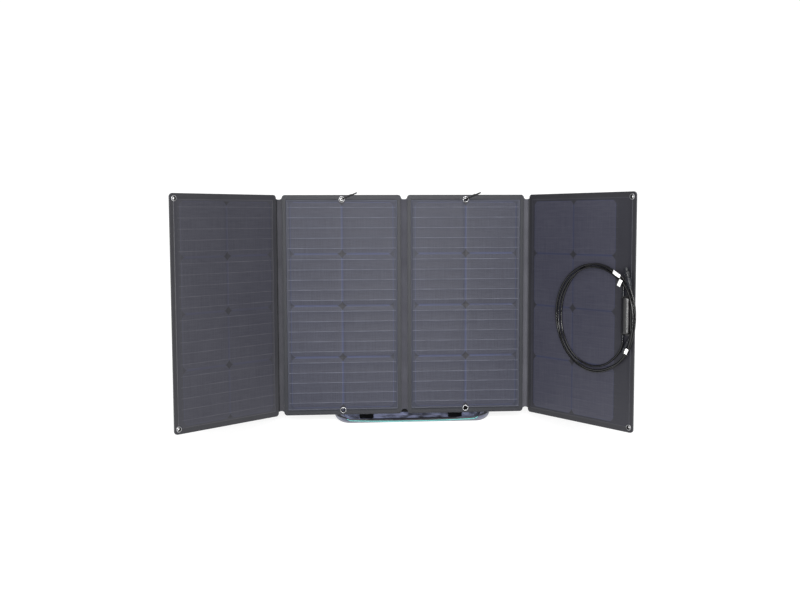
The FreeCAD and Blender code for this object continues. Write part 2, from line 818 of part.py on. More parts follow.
def make_junction_box():
    """The half-round box on the right wing: base, lid and, inside, the bypass diode board."""
    x, y = BOX_CORNER
    base = brick("box_plate", "box_width", "box_length", "box_base", (x, y, FRONT))
    keep("junction_base", group("junction_base", [base]), RIGHT_WING)
    level = FRONT + size("box_base")
    radius = size("lid_radius")
    middle = x + size("box_width") - radius - LID_SIDE_STEP
    foot = y + (size("box_length") - size("lid_length")) / 2
    outside = rod("lid_outside", "lid_radius", "lid_length", (middle, foot, level), (0, 1, 0))
    inside = rod(
        "lid_inside", "lid_radius - lid_wall", "lid_length - 2 * lid_wall",
        (middle, foot + size("lid_wall"), level), (0, 1, 0),
    )
    below = brick(
        "lid_below", "4 * lid_radius", "2 * lid_length", "2 * lid_radius",
        (middle - 2 * radius, foot - radius, level - 2 * radius),
    )
    lid = cut("lid_half", cut("lid_hollow", outside, inside), below)
    keep("junction_lid", lid, RIGHT_WING)

    board = brick(
        "terminal_board", f"{BOARD_WIDTH}", f"lid_length - 2 * {BOARD_INSET}", f"{BOARD_THICK}",
        (middle - BOARD_WIDTH / 2, foot + BOARD_INSET, level),
    )
    diode_pitch = (size("lid_length") - 2 * BOARD_INSET) / 3
    diodes = [
        rod(
            "bypass_diode", f"{DIODE_RADIUS}", f"{DIODE_LENGTH}",
            (
                middle,
                foot + BOARD_INSET + diode_pitch * (number + 0.5) - DIODE_LENGTH / 2,
                level + BOARD_THICK + DIODE_RADIUS,
            ),
            (0, 1, 0),
        )
        for number in range(3)
    ]
    keep("diode_board", group("diode_board", [board] + diodes), RIGHT_WING)


def make_glands():
    """A tapered gland at each end of the box, which a lead comes out of."""
    x, y = BOX_CORNER
    glands = []
    for mouth, way in ((y + size("box_length"), 1), (y, -1)):
        cone = doc.addObject("Part::Cone", "gland_cone")
        bind(cone, "Radius1", "gland_radius")
        bind(cone, "Radius2", "lead_radius + gland_lip")
        bind(cone, "Height", "gland_length")
        turn = Rotation(Vector(0, 0, 1), Vector(0, way, 0))
        cone.Placement = Placement(Vector(GLAND_X, mouth, GLAND_LEVEL), turn)
        glands.append(cone)
    keep("cable_glands", group("cable_glands", glands), RIGHT_WING)


def connector(name, end, mouth, level, stages):
    """A turned plug from its cable end to its mouth."""
    start = Vector(*end, level)
    way = Vector(*mouth, level) - start
    length = way.Length
    way.normalize()
    pieces = []
    done = 0.0
    for radius, share in stages:
        foot = start + way * done
        pieces.append(
            rod(f"{name}_stage", f"{radius}", f"{length * share}", tuple(foot), tuple(way))
        )
        done += length * share
    keep(name, fused(name, pieces), RIGHT_WING)


def coil_point(angle, inset):
    turn = math.radians(angle)
    return Vector(
        COIL_CENTRE[0] + (COIL_OUTER[0] - inset) * math.cos(turn),
        COIL_CENTRE[1] + (COIL_OUTER[1] - inset) * math.sin(turn),
        COIL_LEVEL,
    )


def make_coil():
    """The outer shape of the coiled leads: an oval band, open where they spread at the right."""
    edges = []
    for inset in (0, COIL_BAND):
        top = Vector(COIL_CENTRE[0], COIL_CENTRE[1] + COIL_OUTER[1] - inset, COIL_LEVEL)
        side = Vector(COIL_CENTRE[0] - COIL_OUTER[0] + inset, COIL_CENTRE[1], COIL_LEVEL)
        oval = Part.Ellipse(top, side, Vector(*COIL_CENTRE, COIL_LEVEL))
        arc = Part.ArcOfEllipse(
            oval, math.radians(COIL_START - 90), math.radians(COIL_END - 90)
        )
        edges.append(arc.toShape())
    for angle in (COIL_START, COIL_END):
        edges.append(
            Part.LineSegment(coil_point(angle, 0), coil_point(angle, COIL_BAND)).toShape()
        )
    outline = Part.Wire(Part.__sortEdges__(edges))
    coil = doc.addObject("Part::Feature", "cable_coil")
    coil.Shape = Part.Face(outline).extrude(Vector(0, 0, size("coil_thick")))
    keep("cable_coil", coil, RIGHT_WING)


# points of each lead in the right wing's frame; inside the coil it has no tube of its own
ROUTES = {
    "lead_positive_start": [
        (384, 403, 4.1), (384, 411.5, 4.1), (381.6, 419.6, 3.8),
        (376.6, 426.6, 3.2), (370, 432.3, 2.8), (362.7, 437, 2.6),
    ],
    "lead_positive_pass": [
        (352, 184, 8.6), (370, 193, 8.6), (386.5, 207.5, 8.6), (400, 226, 8.8), (410.5, 249, 9.0),
        (418, 274, 9.2), (421.8, 302, 9.0), (422.2, 330, 8.8), (419.8, 356, 8.9),
        (413.5, 381, 9.3), (403.5, 403, 9.8), (389.5, 422, 9.7), (373, 438.5, 9.3), (355, 452, 8.6),
    ],
    "lead_positive_end": [
        (360, 187, 2.6), (375.5, 198.5, 2.6), (390, 212.5, 2.6), (402.5, 230, 2.6),
        (412.5, 251, 2.6), (420, 276, 2.6), (425, 304, 2.6), (426.3, 333, 2.6),
        (425, 359, 3.2), (420.5, 384, 5.6), (412.5, 410, 8.9),
    ],
    "lead_negative_start": [
        (384, 262, 4.1), (384, 253, 4.1), (380.6, 242, 3.6), (374.6, 231.5, 3.0),
        (367.2, 221.5, 2.6), (359.2, 212.5, 2.6), (350.5, 204.5, 2.6),
    ],
    "lead_negative_end": [
        (352, 455, 2.8), (365, 448.5, 2.7), (377.5, 439.5, 2.6), (388.5, 429.5, 2.6),
        (398.5, 417.5, 2.6), (407.5, 404, 2.6), (414.8, 388, 2.6), (417.6, 369, 2.6),
        (418, 349, 2.6), (417.7, 328, 2.6), (418, 307, 3.2), (416.5, 288, 4.8), (409, 268, 6.6),
    ],
}


# each plug's cable end, mouth and height, then its stages as radius and share of its length
CONNECTORS = {
    "connector_positive": (
        (412.5, 410), (396, 468), 8.9,
        [(6.0, 0.16), (8.2, 0.34), (7.0, 0.08), (8.5, 0.24), (5.6, 0.18)],
    ),
    "connector_negative": (
        (409, 268), (385.5, 223.5), 6.6,
        [(4.6, 0.18), (6.2, 0.36), (5.2, 0.08), (6.2, 0.22), (4.2, 0.16)],
    ),
}
# middle, turn and length of each blank tag
TAGS = [(366, 449, -28, 32), (378, 424, 62, 22), (404, 232, 66, 18)]
TAG_LEVEL = 12.6


def make_tags():
    tags = []
    for x, y, turn, length in TAGS:
        tag = brick("cable_tag", f"{length}", "tag_width", "tag_thick")
        middle = Placement(Vector(x, y, TAG_LEVEL), Rotation(Vector(0, 0, 1), turn))
        tag.Placement = shifted(middle, -length / 2, -size("tag_width") / 2)
        tags.append(tag)
    keep("cable_tags", group("cable_tags", tags), RIGHT_WING)


def make_leads():
    for name, route in ROUTES.items():
        tube(name, route, RIGHT_WING, size("lead_radius"))
    make_coil()
    for name, plug in CONNECTORS.items():
        connector(name, *plug)
    make_tags()


# ---------------------------------------------------------------- write out

ON_THE_CORDS = [*ROUTES, *CONNECTORS, "cable_coil", "cable_tags"]

make_panels()
make_eyelets()
make_seams()
make_case()
make_patches()
make_handle()
make_snap_hooks()
make_junction_box()
make_glands()
make_leads()


def stand_on_origin():
    """Move everything so that the origin is the middle of the footprint, on the ground."""
    box = FreeCAD.BoundBox()
    for name, piece in parts.items():
        if name not in ON_THE_CORDS:
            box.add(piece.Shape.optimalBoundingBox(False, False))
    shift = Placement(Vector(-box.Center.x, -box.Center.y, -box.ZMin), Rotation())
    for piece in parts.values():
        piece.Placement = shift.multiply(piece.Placement)
    print(f"shift {shift.Base}, footprint {box.XLength:.1f} x {box.YLength:.1f}")
    for label, frame in (("left wing", LEFT_WING), ("right wing", RIGHT_WING)):
        placed = shift.multiply(frame)
        print(f"{label}: fold line at {placed.Base}, up {placed.Rotation.multVec(Vector(0, 1, 0))}")
    hinge = shift.multVec(shifted(REAR_LEAF, 0, size("leaf_height"), 0).Base)
    print(f"rear leaf hangs at {hinge}")


def main():
    doc.recompute()
    stand_on_origin()
    doc.recompute()
    for piece in doc.Objects:
        if {"Invalid", "Error"} & set(piece.State):
            raise RuntimeError(f"{piece.Name} did not build: {piece.State}")
    os.makedirs("parts", exist_ok=True)
    for name, piece in parts.items():
        shape = piece.Shape
        if shape.isNull() or not shape.isValid() or not shape.Solids:
            raise RuntimeError(f"{name} has no valid shape")
        shape.exportStep(f"parts/{name}.step")
        box = shape.BoundBox
        print(
            f"{name}: {len(shape.Solids)} solids, {shape.Volume / 1000:.1f} cm3,"
            f" x {box.XMin:.1f}..{box.XMax:.1f} y {box.YMin:.1f}..{box.YMax:.1f}"
            f" z {box.ZMin:.1f}..{box.ZMax:.1f}"
        )


main()
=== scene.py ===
"""Looks of a four-panel folding solar kit that stands on its soft carry case.

Metres, +Z up. Flat pieces are drawn in the plane of the panel or case leaf that they belong to:
x across it, y up its face and n out of its front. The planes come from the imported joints.
"""

import json
import math

import bmesh
import bpy
import numpy as np
from mathutils import Matrix, Quaternion, Vector


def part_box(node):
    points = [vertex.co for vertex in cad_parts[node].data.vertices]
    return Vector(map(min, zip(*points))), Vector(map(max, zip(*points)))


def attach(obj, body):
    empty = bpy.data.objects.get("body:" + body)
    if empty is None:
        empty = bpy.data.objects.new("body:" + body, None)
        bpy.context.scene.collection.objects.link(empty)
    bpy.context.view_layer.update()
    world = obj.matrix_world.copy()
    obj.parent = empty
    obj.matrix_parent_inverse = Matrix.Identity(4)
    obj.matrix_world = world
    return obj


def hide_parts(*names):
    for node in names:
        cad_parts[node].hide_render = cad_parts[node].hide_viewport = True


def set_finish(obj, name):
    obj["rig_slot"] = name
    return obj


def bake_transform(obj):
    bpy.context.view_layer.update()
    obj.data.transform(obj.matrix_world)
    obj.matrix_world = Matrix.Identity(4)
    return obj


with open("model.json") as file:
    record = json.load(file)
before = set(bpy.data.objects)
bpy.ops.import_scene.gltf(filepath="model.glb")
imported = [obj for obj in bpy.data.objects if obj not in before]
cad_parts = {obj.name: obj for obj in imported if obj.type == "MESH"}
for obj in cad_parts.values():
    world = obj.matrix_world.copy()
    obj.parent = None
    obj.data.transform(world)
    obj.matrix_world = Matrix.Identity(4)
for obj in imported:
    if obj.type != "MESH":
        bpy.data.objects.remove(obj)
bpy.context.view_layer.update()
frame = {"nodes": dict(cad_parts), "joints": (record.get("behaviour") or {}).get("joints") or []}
nodes = frame["nodes"]
joints = {joint["name"]: joint for joint in frame["joints"]}


# ---------------------------------------------------------------- planes

PITCH_EDGE = 0.010
PANEL_HEIGHT = 0.680
CELL = 0.15675
CELL_STEP = 0.160
CELL_CORNER = 0.0085
CELL_INSET = 0.0336
FIRST_ROW = 0.021625
RIBBONS = 5
TAPE_REACH = 0.008
LEAF_SIZE = (0.432, 0.672)
LEAF_MID = 0.026
LEAF_DROP = 0.0175
LEAF_BACK = 0.0173
LEAF_THICK = 0.006
BAND_MIDDLE = 0.839
BAND_HALF = 0.168
EYELET_LEVEL = -0.00295
RIM_LINE = 0.0125
RIM_EXTRA = 0.0035


class Plane:
    """A flat frame placed in the row frame: x across, y up its face, n out of its front."""

    def __init__(self, origin, across, up):
        self.origin = np.array(origin, float)
        self.across = np.array(Vector(across).normalized())
        self.up = np.array(Vector(up).normalized())
        self.out = np.cross(self.across, self.up)

    def points(self, x, y, n):
        """Row-frame points for arrays of local coordinates."""
        x, y, n = np.broadcast_arrays(x, y, n)
        return (
            self.origin + x[..., None] * self.across + y[..., None] * self.up
            + n[..., None] * self.out
        )

    def point(self, x, y, n=0.0):
        return Vector(self.points(np.array(x), np.array(y), np.array(n)))

    def moved(self, x, y, n, turn=0.0):
        """The same plane from another origin, turned about its up direction."""
        across = self.across * math.cos(turn) - self.out * math.sin(turn)
        return Plane(self.point(x, y, n), across, self.up)


def wing_angle(side):
    """How far a wing stands folded forward: its lowest travel brings it back to flat."""
    return -math.radians(joints[f"{side}_wing_fold"]["range_deg"][0])


fold_left = Vector(joints["left_wing_fold"]["pos_m"])
fold_right = Vector(joints["right_wing_fold"]["pos_m"])
PITCH = (fold_right - fold_left).length / 2
FACE = Plane(
    (fold_left + fold_right) / 2, fold_right - fold_left, joints["left_wing_fold"]["axis"]
)
LEFT_WING = FACE.moved(-PITCH, 0, 0, wing_angle("left"))
RIGHT_WING = FACE.moved(PITCH, 0, 0, -wing_angle("right"))
FRONT_LEAF = FACE.moved(LEAF_MID, -LEAF_DROP, -LEAF_BACK)
rear_hinge = Vector(joints["rear_leaf_swing"]["pos_m"])
rear_up = Vector((0, -FACE.up[1], FACE.up[2]))
REAR_LEAF = Plane(rear_hinge - rear_up * LEAF_SIZE[1], (-1, 0, 0), rear_up)

LEFT_END, RIGHT_END = -0.382, 0.420

# each panel: its plane, body, the x of its two side edges and of its first cell
PANELS = {
    "left": (LEFT_WING, "left_wing", LEFT_END, -PITCH_EDGE, CELL_INSET - PITCH),
    "second": (FACE, "kit", PITCH_EDGE - PITCH, -PITCH_EDGE, CELL_INSET - PITCH),
    "third": (FACE, "kit", PITCH_EDGE, PITCH - PITCH_EDGE, CELL_INSET),
    "right": (RIGHT_WING, "right_wing", PITCH_EDGE, RIGHT_END, CELL_INSET),
}
CORNERS = {  # lower left, lower right, upper left, upper right
    "left": (0.010, 0.009, 0.010, 0.009),
    "second": (0.009, 0.009, 0.009, 0.009),
    "third": (0.009, 0.009, 0.009, 0.009),
    "right": (0.009, 0.010, 0.009, 0.010),
}


# ---------------------------------------------------------------- node material helpers

def linear(colour):
    """An sRGB colour in 0 to 255 as linear RGBA."""
    shares = [part / 255 for part in colour]
    return (*[s / 12.92 if s < 0.04045 else ((s + 0.055) / 1.055) ** 2.4 for s in shares], 1.0)


class Field:
    """A number that varies over a surface. Arithmetic on it adds math nodes."""

    def __init__(self, tree, socket):
        self.tree = tree
        self.socket = socket

    def math(self, operation, *others):
        node = self.tree.nodes.new("ShaderNodeMath")
        node.operation = operation
        for slot, value in enumerate((self, *others)):
            if isinstance(value, Field):
                self.tree.links.new(value.socket, node.inputs[slot])
            else:
                node.inputs[slot].default_value = value
        return Field(self.tree, node.outputs[0])

    def __add__(self, other):
        return self.math("ADD", other)

    def __sub__(self, other):
        return self.math("SUBTRACT", other)

    def __mul__(self, other):
        return self.math("MULTIPLY", other)

    def mod(self, size):
        return self.math("FLOORED_MODULO", size)

    def size(self):
        return self.math("ABSOLUTE")

    def least(self, other):
        return self.math("MINIMUM", other)

    def wave(self, length):
        return (self * (2 * math.pi / length)).math("SINE")

    def step(self, low, high):
        """0 below low, 1 above high and smooth between them; low may be the larger."""
        node = self.tree.nodes.new("ShaderNodeMapRange")
        node.interpolation_type = "SMOOTHSTEP"
        self.tree.links.new(self.socket, node.inputs["Value"])
        node.inputs["From Min"].default_value = min(low, high)
        node.inputs["From Max"].default_value = max(low, high)
        node.inputs["To Min"].default_value = float(low > high)
        node.inputs["To Max"].default_value = float(low < high)
        return Field(self.tree, node.outputs["Result"])

    def mix(self, first, second):
        """Colour first where this is 0 and second where it is 1."""
        node = self.tree.nodes.new("ShaderNodeMix")
        node.data_type = "RGBA"
        self.tree.links.new(self.socket, node.inputs["Factor"])
        for name, colour in (("A", first), ("B", second)):
            target = next(s for s in node.inputs if s.name == name and s.type == "RGBA")
            if isinstance(colour, bpy.types.NodeSocket):
                self.tree.links.new(colour, target)
            else:
                target.default_value = linear(colour)
        return next(s for s in node.outputs if s.type == "RGBA")


class Look:
    """A material with a Principled shader; what is uniform is set on the shader itself.

    Its patterns lie on the piece's map in metres if mapped, and otherwise on its own coordinates.
    """

    def __init__(self, name, roughness, mapped=False, **sockets):
        self.material = bpy.data.materials.new(name)
        self.material.use_nodes = True
        self.tree = self.material.node_tree
        self.shader = self.tree.nodes["Principled BSDF"]
        self.shader.inputs["Roughness"].default_value = roughness
        for socket, value in sockets.items():
            self.shader.inputs[socket.replace("_", " ")].default_value = value
        place = self.tree.nodes.new("ShaderNodeTexCoord")
        self.source = place.outputs["UV" if mapped else "Object"]

    def axes(self):
        """The three parts of the coordinates, as fields."""
        node = self.tree.nodes.new("ShaderNodeSeparateXYZ")
        self.tree.links.new(self.source, node.inputs[0])
        return [Field(self.tree, output) for output in node.outputs]

    def noise(self, scale, detail=2.0, stretch=None):
        source = self.source
        node = self.tree.nodes.new("ShaderNodeTexNoise")
        node.inputs["Scale"].default_value = scale
        node.inputs["Detail"].default_value = detail
        if stretch:
            mapping = self.tree.nodes.new("ShaderNodeMapping")
            mapping.inputs["Scale"].default_value = stretch
            self.tree.links.new(source, mapping.inputs["Vector"])
            source = mapping.outputs["Vector"]
        self.tree.links.new(source, node.inputs["Vector"])
        return Field(self.tree, node.outputs["Fac"])

    def colour(self, socket):
        self.tree.links.new(socket, self.shader.inputs["Base Color"])

    def rough(self, field):
        self.tree.links.new(field.socket, self.shader.inputs["Roughness"])

    def bump(self, height, distance, strength=1.0):
        node = self.tree.nodes.new("ShaderNodeBump")
        node.inputs["Distance"].default_value = distance
        node.inputs["Strength"].default_value = strength
        self.tree.links.new(height.socket, node.inputs["Height"])
        self.tree.links.new(node.outputs["Normal"], self.shader.inputs["Normal"])


# ---------------------------------------------------------------- materials

THREAD_RELIEF = 0.00015
def woven(look, u, v, thread):
    """Crossed threads and a fine fuzz, in relief on the look and returned for its tones."""
    over = u.wave(thread) * v.wave(thread)
    fuzz = look.noise(900.0)
    look.bump(over * 0.5 + fuzz * 0.4 + 0.5, THREAD_RELIEF)
    return over, fuzz


def fabric(name, dark, light, thread=0.0009, roughness=0.85, mapped=True):
    """Woven polyester: crossed threads, a fine fuzz and slow changes of tone."""
    look = Look(name, roughness, mapped=mapped, Sheen_Weight=0.25, Sheen_Roughness=0.5)
    u, v, w = look.axes()
    if not mapped:
        u, v = u + w, v - w
    over, fuzz = woven(look, u, v, thread)
    cloud = look.noise(14.0, 4.0)
    tone = (over * 0.22 + cloud * 0.9 + fuzz * 0.25 - 0.1).step(0.0, 1.0)
    look.colour(tone.mix(dark, light))
    look.rough(cloud * 0.2 + (roughness - 0.1))
    return look.material


def creased(name, dark, light, crease=None, depth=0.0):
    """The seams' fabric, with painted shade along the crease that lies at one distance across it.
    """
    look = Look(name, 0.8, mapped=True, Specular_IOR_Level=0.2)
    u, v, _ = look.axes()
    over, fuzz = woven(look, u, v, 0.0012)
    cloud = look.noise(14.0, 4.0)
    tone = (over * 0.2 + cloud * 0.7 + fuzz * 0.3 - 0.05).step(0.0, 1.0).mix(dark, light)
    if crease is not None:
        # painted shade: the colour goes very dark along the crease beside a folded wing
        painted_crease_shade = ((v - crease).size() + cloud * 0.002).step(0.0105, 0.0050)
        tone = (painted_crease_shade * depth).mix(tone, (5, 5, 6))
    look.colour(tone)
    return look.material


def facing(name, split):
    """Crumpled pale fabric with painted light and shade on its folds, and painted shadow above the
    height where it goes behind the panels.
    """
    look = Look(name, 0.75, mapped=True, Specular_IOR_Level=0.2)
    u, v, _ = look.axes()
    over, fuzz = woven(look, u, v, 0.0007)
    # painted light and shade: the folds are drawn as light and dark tones in the colour
    folds = look.noise(34.0, 2.0, stretch=(0.6, 1.0, 1.0))
    pale = (folds + over * 0.05).step(0.38, 0.62).mix((34, 35, 44), (96, 100, 124))
    # painted shadow: the facing is made very dark where it lies behind the panels
    painted_shadow = fuzz.mix((4, 4, 5), (10, 10, 12))
    look.colour(v.step(split, split + 0.0008).mix(pale, painted_shadow))
    return look.material


def banded(name, dark, light, band):
    """The gusset's fabric: pale where it bunches at the corners, with a dark band along the bottom
    run between them.
    """
    look = Look(name, 0.7, mapped=True, Specular_IOR_Level=0.2)
    run, across, _ = look.axes()
    over, fuzz = woven(look, run, across, 0.0009)
    cloud = look.noise(30.0, 4.0)
    tone = (over * 0.2 + cloud + fuzz * 0.2 - 0.1).step(0.1, 0.9).mix(dark, light)
    along = (run - BAND_MIDDLE).size() + cloud * 0.03
    # darker along the bottom run between the two corners
    dark_band = along.step(BAND_HALF + 0.012, BAND_HALF - 0.012) * across.step(0.0005, 0.003)
    look.colour(dark_band.mix(tone, band))
    return look.material


def webbing(name, dark, light, rib=0.0022, mapped=True):
    """Flat webbing: ribs across it and a fine twill along it."""
    look = Look(name, 0.75, mapped=mapped, Sheen_Weight=0.2)
    u, v, w = look.axes()
    ribs = (u + w if not mapped else u).wave(rib)
    twill = (u + v).wave(rib / 2)
    fuzz = look.noise(1100.0)
    tone = (ribs * 0.3 + twill * 0.2 + fuzz * 0.5 + 0.25).step(0.0, 1.0)
    look.colour(tone.mix(dark, light))
    look.bump(ribs * 0.4 + twill * 0.2 + fuzz * 0.3 + 0.5, 0.00025)
    return look.material


def moulded(name, dark, light, roughness=0.4, grain=1400.0, relief=0.00004, gloss=0.5):
    """Moulded plastic or rubber: spark-eroded grain, faint flow tones and handling marks."""
    look = Look(name, roughness, IOR=1.5, Specular_IOR_Level=gloss)
    fine = look.noise(grain, 1.0)
    cloud = look.noise(30.0, 3.0)
    look.colour((cloud * 0.8 + fine * 0.3 - 0.05).step(0.1, 0.9).mix(dark, light))
    look.rough(cloud * 0.12 + (roughness - 0.06))
    look.bump(fine, relief)
    return look.material


def metal(name, dark, light, roughness=0.28):
    """Plated metal with fine turning marks and a little tarnish."""
    look = Look(name, roughness, Metallic=1.0)
    marks = look.noise(260.0, 3.0, stretch=(1.0, 1.0, 7.0))
    tarnish = look.noise(90.0, 4.0)
    look.colour(tarnish.step(0.35, 0.8).mix(light, dark))
    look.rough(tarnish * 0.3 + marks * 0.12 + (roughness - 0.2))
    look.bump(marks, 0.00003)
    return look.material


def laminate(name, reach, cell, margin, notch, rim_tone, gap, ribbon, haze, tape_share, gloss):
    """Textured clear film over the dark border and the cells, mapped from the first cell's corner.

    reach is how far the panel goes to each side of that corner. Outside the welded line the film
    gives way to plain coated fabric; inside it lie the margin, the cells and their ribbons.
    """
    look = Look(name, 0.5, mapped=True, IOR=1.4, Specular_IOR_Level=gloss)
    u, v, _ = look.axes()
    wide = CELL_STEP + CELL
    tall = 3 * CELL_STEP + CELL
    half = CELL / 2
    from_side = (u.mod(CELL_STEP) - half).size() * -1.0 + half
    from_end = (v.mod(CELL_STEP) - half).size() * -1.0 + half
    cut = (from_side + from_end - CELL_CORNER) * math.sqrt(0.5)
    depth = from_side.least(from_end).least(cut)
    inside_u = u.step(-0.0004, 0.0) * u.step(wide + 0.0004, wide)
    inside_v = v.step(-0.0004, 0.0) * v.step(tall + 0.0004, tall)
    inside = inside_u * inside_v
    in_cell = depth.step(0.0, 0.0005) * inside
    # the gaps between the cells, partly their own colour and partly a painted glint fading in from
    # each cell's edge
    gap_and_edge_glint = inside * depth.step(0.0026, 0.0002) * (from_side + from_end).step(0.0100, 0.0115)
    from_array = u.least(u * -1.0 + wide) + v.least(v * -1.0 + tall)
    central = (u - wide / 2).size().step(0.03, 0.02) * 0.5 + 0.5
    in_notch = inside * cut.step(0.0002, -0.0004) * from_array.step(0.009, 0.011) * central
    edge_u = (u - reach[0]).least(u * -1.0 + reach[1])
    edge_v = (v + FIRST_ROW).least(v * -1.0 + (PANEL_HEIGHT - FIRST_ROW)) - RIM_EXTRA
    rim = edge_u.least(edge_v)
    framed = rim.step(RIM_LINE + 0.0006, RIM_LINE - 0.0006)
    weld = (rim - RIM_LINE).size().step(0.0014, 0.0004)
    pitch = CELL / RIBBONS
    off_ribbon = (v.mod(CELL_STEP).mod(pitch) - pitch / 2).size()
    past, over = TAPE_REACH + 0.0005, TAPE_REACH - 0.0005
    reach_u = u.step(-past, -over) * u.step(wide + past, wide + over)
    in_row = v.mod(CELL_STEP).step(CELL, CELL - 0.0005) * inside_v
    tape = off_ribbon.step(0.00095, 0.0006) * reach_u * in_row
    finger = (u.mod(0.0022) - 0.0011).size().step(0.0004, 0.0002) * in_cell
    cloud = look.noise(5.0, 3.0)
    fibre = look.noise(110.0, 3.0, stretch=(0.18, 2.6, 1.0))
    warp = look.noise(110.0, 2.0, stretch=(3.0, 0.12, 1.0))
    pebble = look.noise(1500.0, 1.0)
    cell_tone = (cloud * 0.5 + fibre * 0.7 + warp * 0.6 - 0.4).step(0.1, 0.9).mix(cell, haze)
    margin_tone = (cloud * 0.6 + fibre * 0.4).step(0.2, 0.8).mix(
        margin, [part + 6 for part in margin]
    )
    frame_tone = (cloud * 0.5 + pebble * 0.4 + 0.05).step(0.2, 0.8).mix(
        rim_tone, [part + 12 for part in rim_tone]
    )
    shown = in_cell.mix(margin_tone, cell_tone)
    shown = (finger * 0.12).mix(shown, ribbon)
    shown = (gap_and_edge_glint * (cloud * 0.8 + 0.1)).mix(shown, gap)
    shown = in_notch.mix(shown, notch)
    wear = look.noise(16.0, 2.0)
    shown = (tape * (wear * 1.1 - 0.1) * tape_share).mix(shown, ribbon)
    shown = framed.mix(shown, frame_tone)
    # painted highlight: a pale line in the ribbon colour along the welded ridge
    shown = (weld * (cloud * 0.3 - 0.03)).mix(shown, ribbon)
    look.colour(shown)
    look.rough(pebble * 0.1 + cloud * 0.1 + 0.30)
    height = pebble * 0.5 + tape + in_cell * 0.5 + fibre * 0.5 + weld * 1.5
    look.bump(height, 0.00006, 0.7)
    return look.material


def silicon(name):
    """Bare silicon cells under the film."""
    look = Look(name, 0.3, Metallic=0.2)
    _, _, z = look.axes()
    fingers = z.mod(0.0015).step(0.0001, 0.0002)
    grain = look.noise(30.0, 3.0)
    base = grain.mix((38, 42, 64), (56, 60, 84))
    look.colour(fingers.mix((130, 134, 146), base))
    look.bump(fingers, 0.00003)
    return look.material


def board(name, dark, light, scale=300.0):
    """Fibrous or foamed filling that shows only at an opening."""
    look = Look(name, 0.8)
    grain = look.noise(scale, 4.0)
    look.colour(grain.step(0.2, 0.8).mix(dark, light))
    look.bump(grain, 0.0001)
    return look.material


def paper(name):
    look = Look(name, 0.7)
    fibre = look.noise(500.0, 4.0)
    crease = look.noise(60.0, 3.0)
    look.colour((fibre * 0.6 + crease * 0.4).mix((238, 239, 240), (252, 252, 252)))
    look.bump(fibre + crease, 0.0001)
    return look.material


def zip_tape(name):
    """The zip's bright teeth: short bars side by side across the band."""
    look = Look(name, 0.45, mapped=True, IOR=1.5)
    u, _, _ = look.axes()
    bars = u.wave(0.0016)
    wear = look.noise(25.0, 4.0)
    shade = bars.step(-0.8, 0.6).mix((96, 178, 176), (146, 236, 228))
    look.colour((wear.step(0.5, 0.85) * 0.5).mix(shade, (110, 170, 170)))
    look.bump(bars * 0.5 + 0.5, 0.0004)
    return look.material


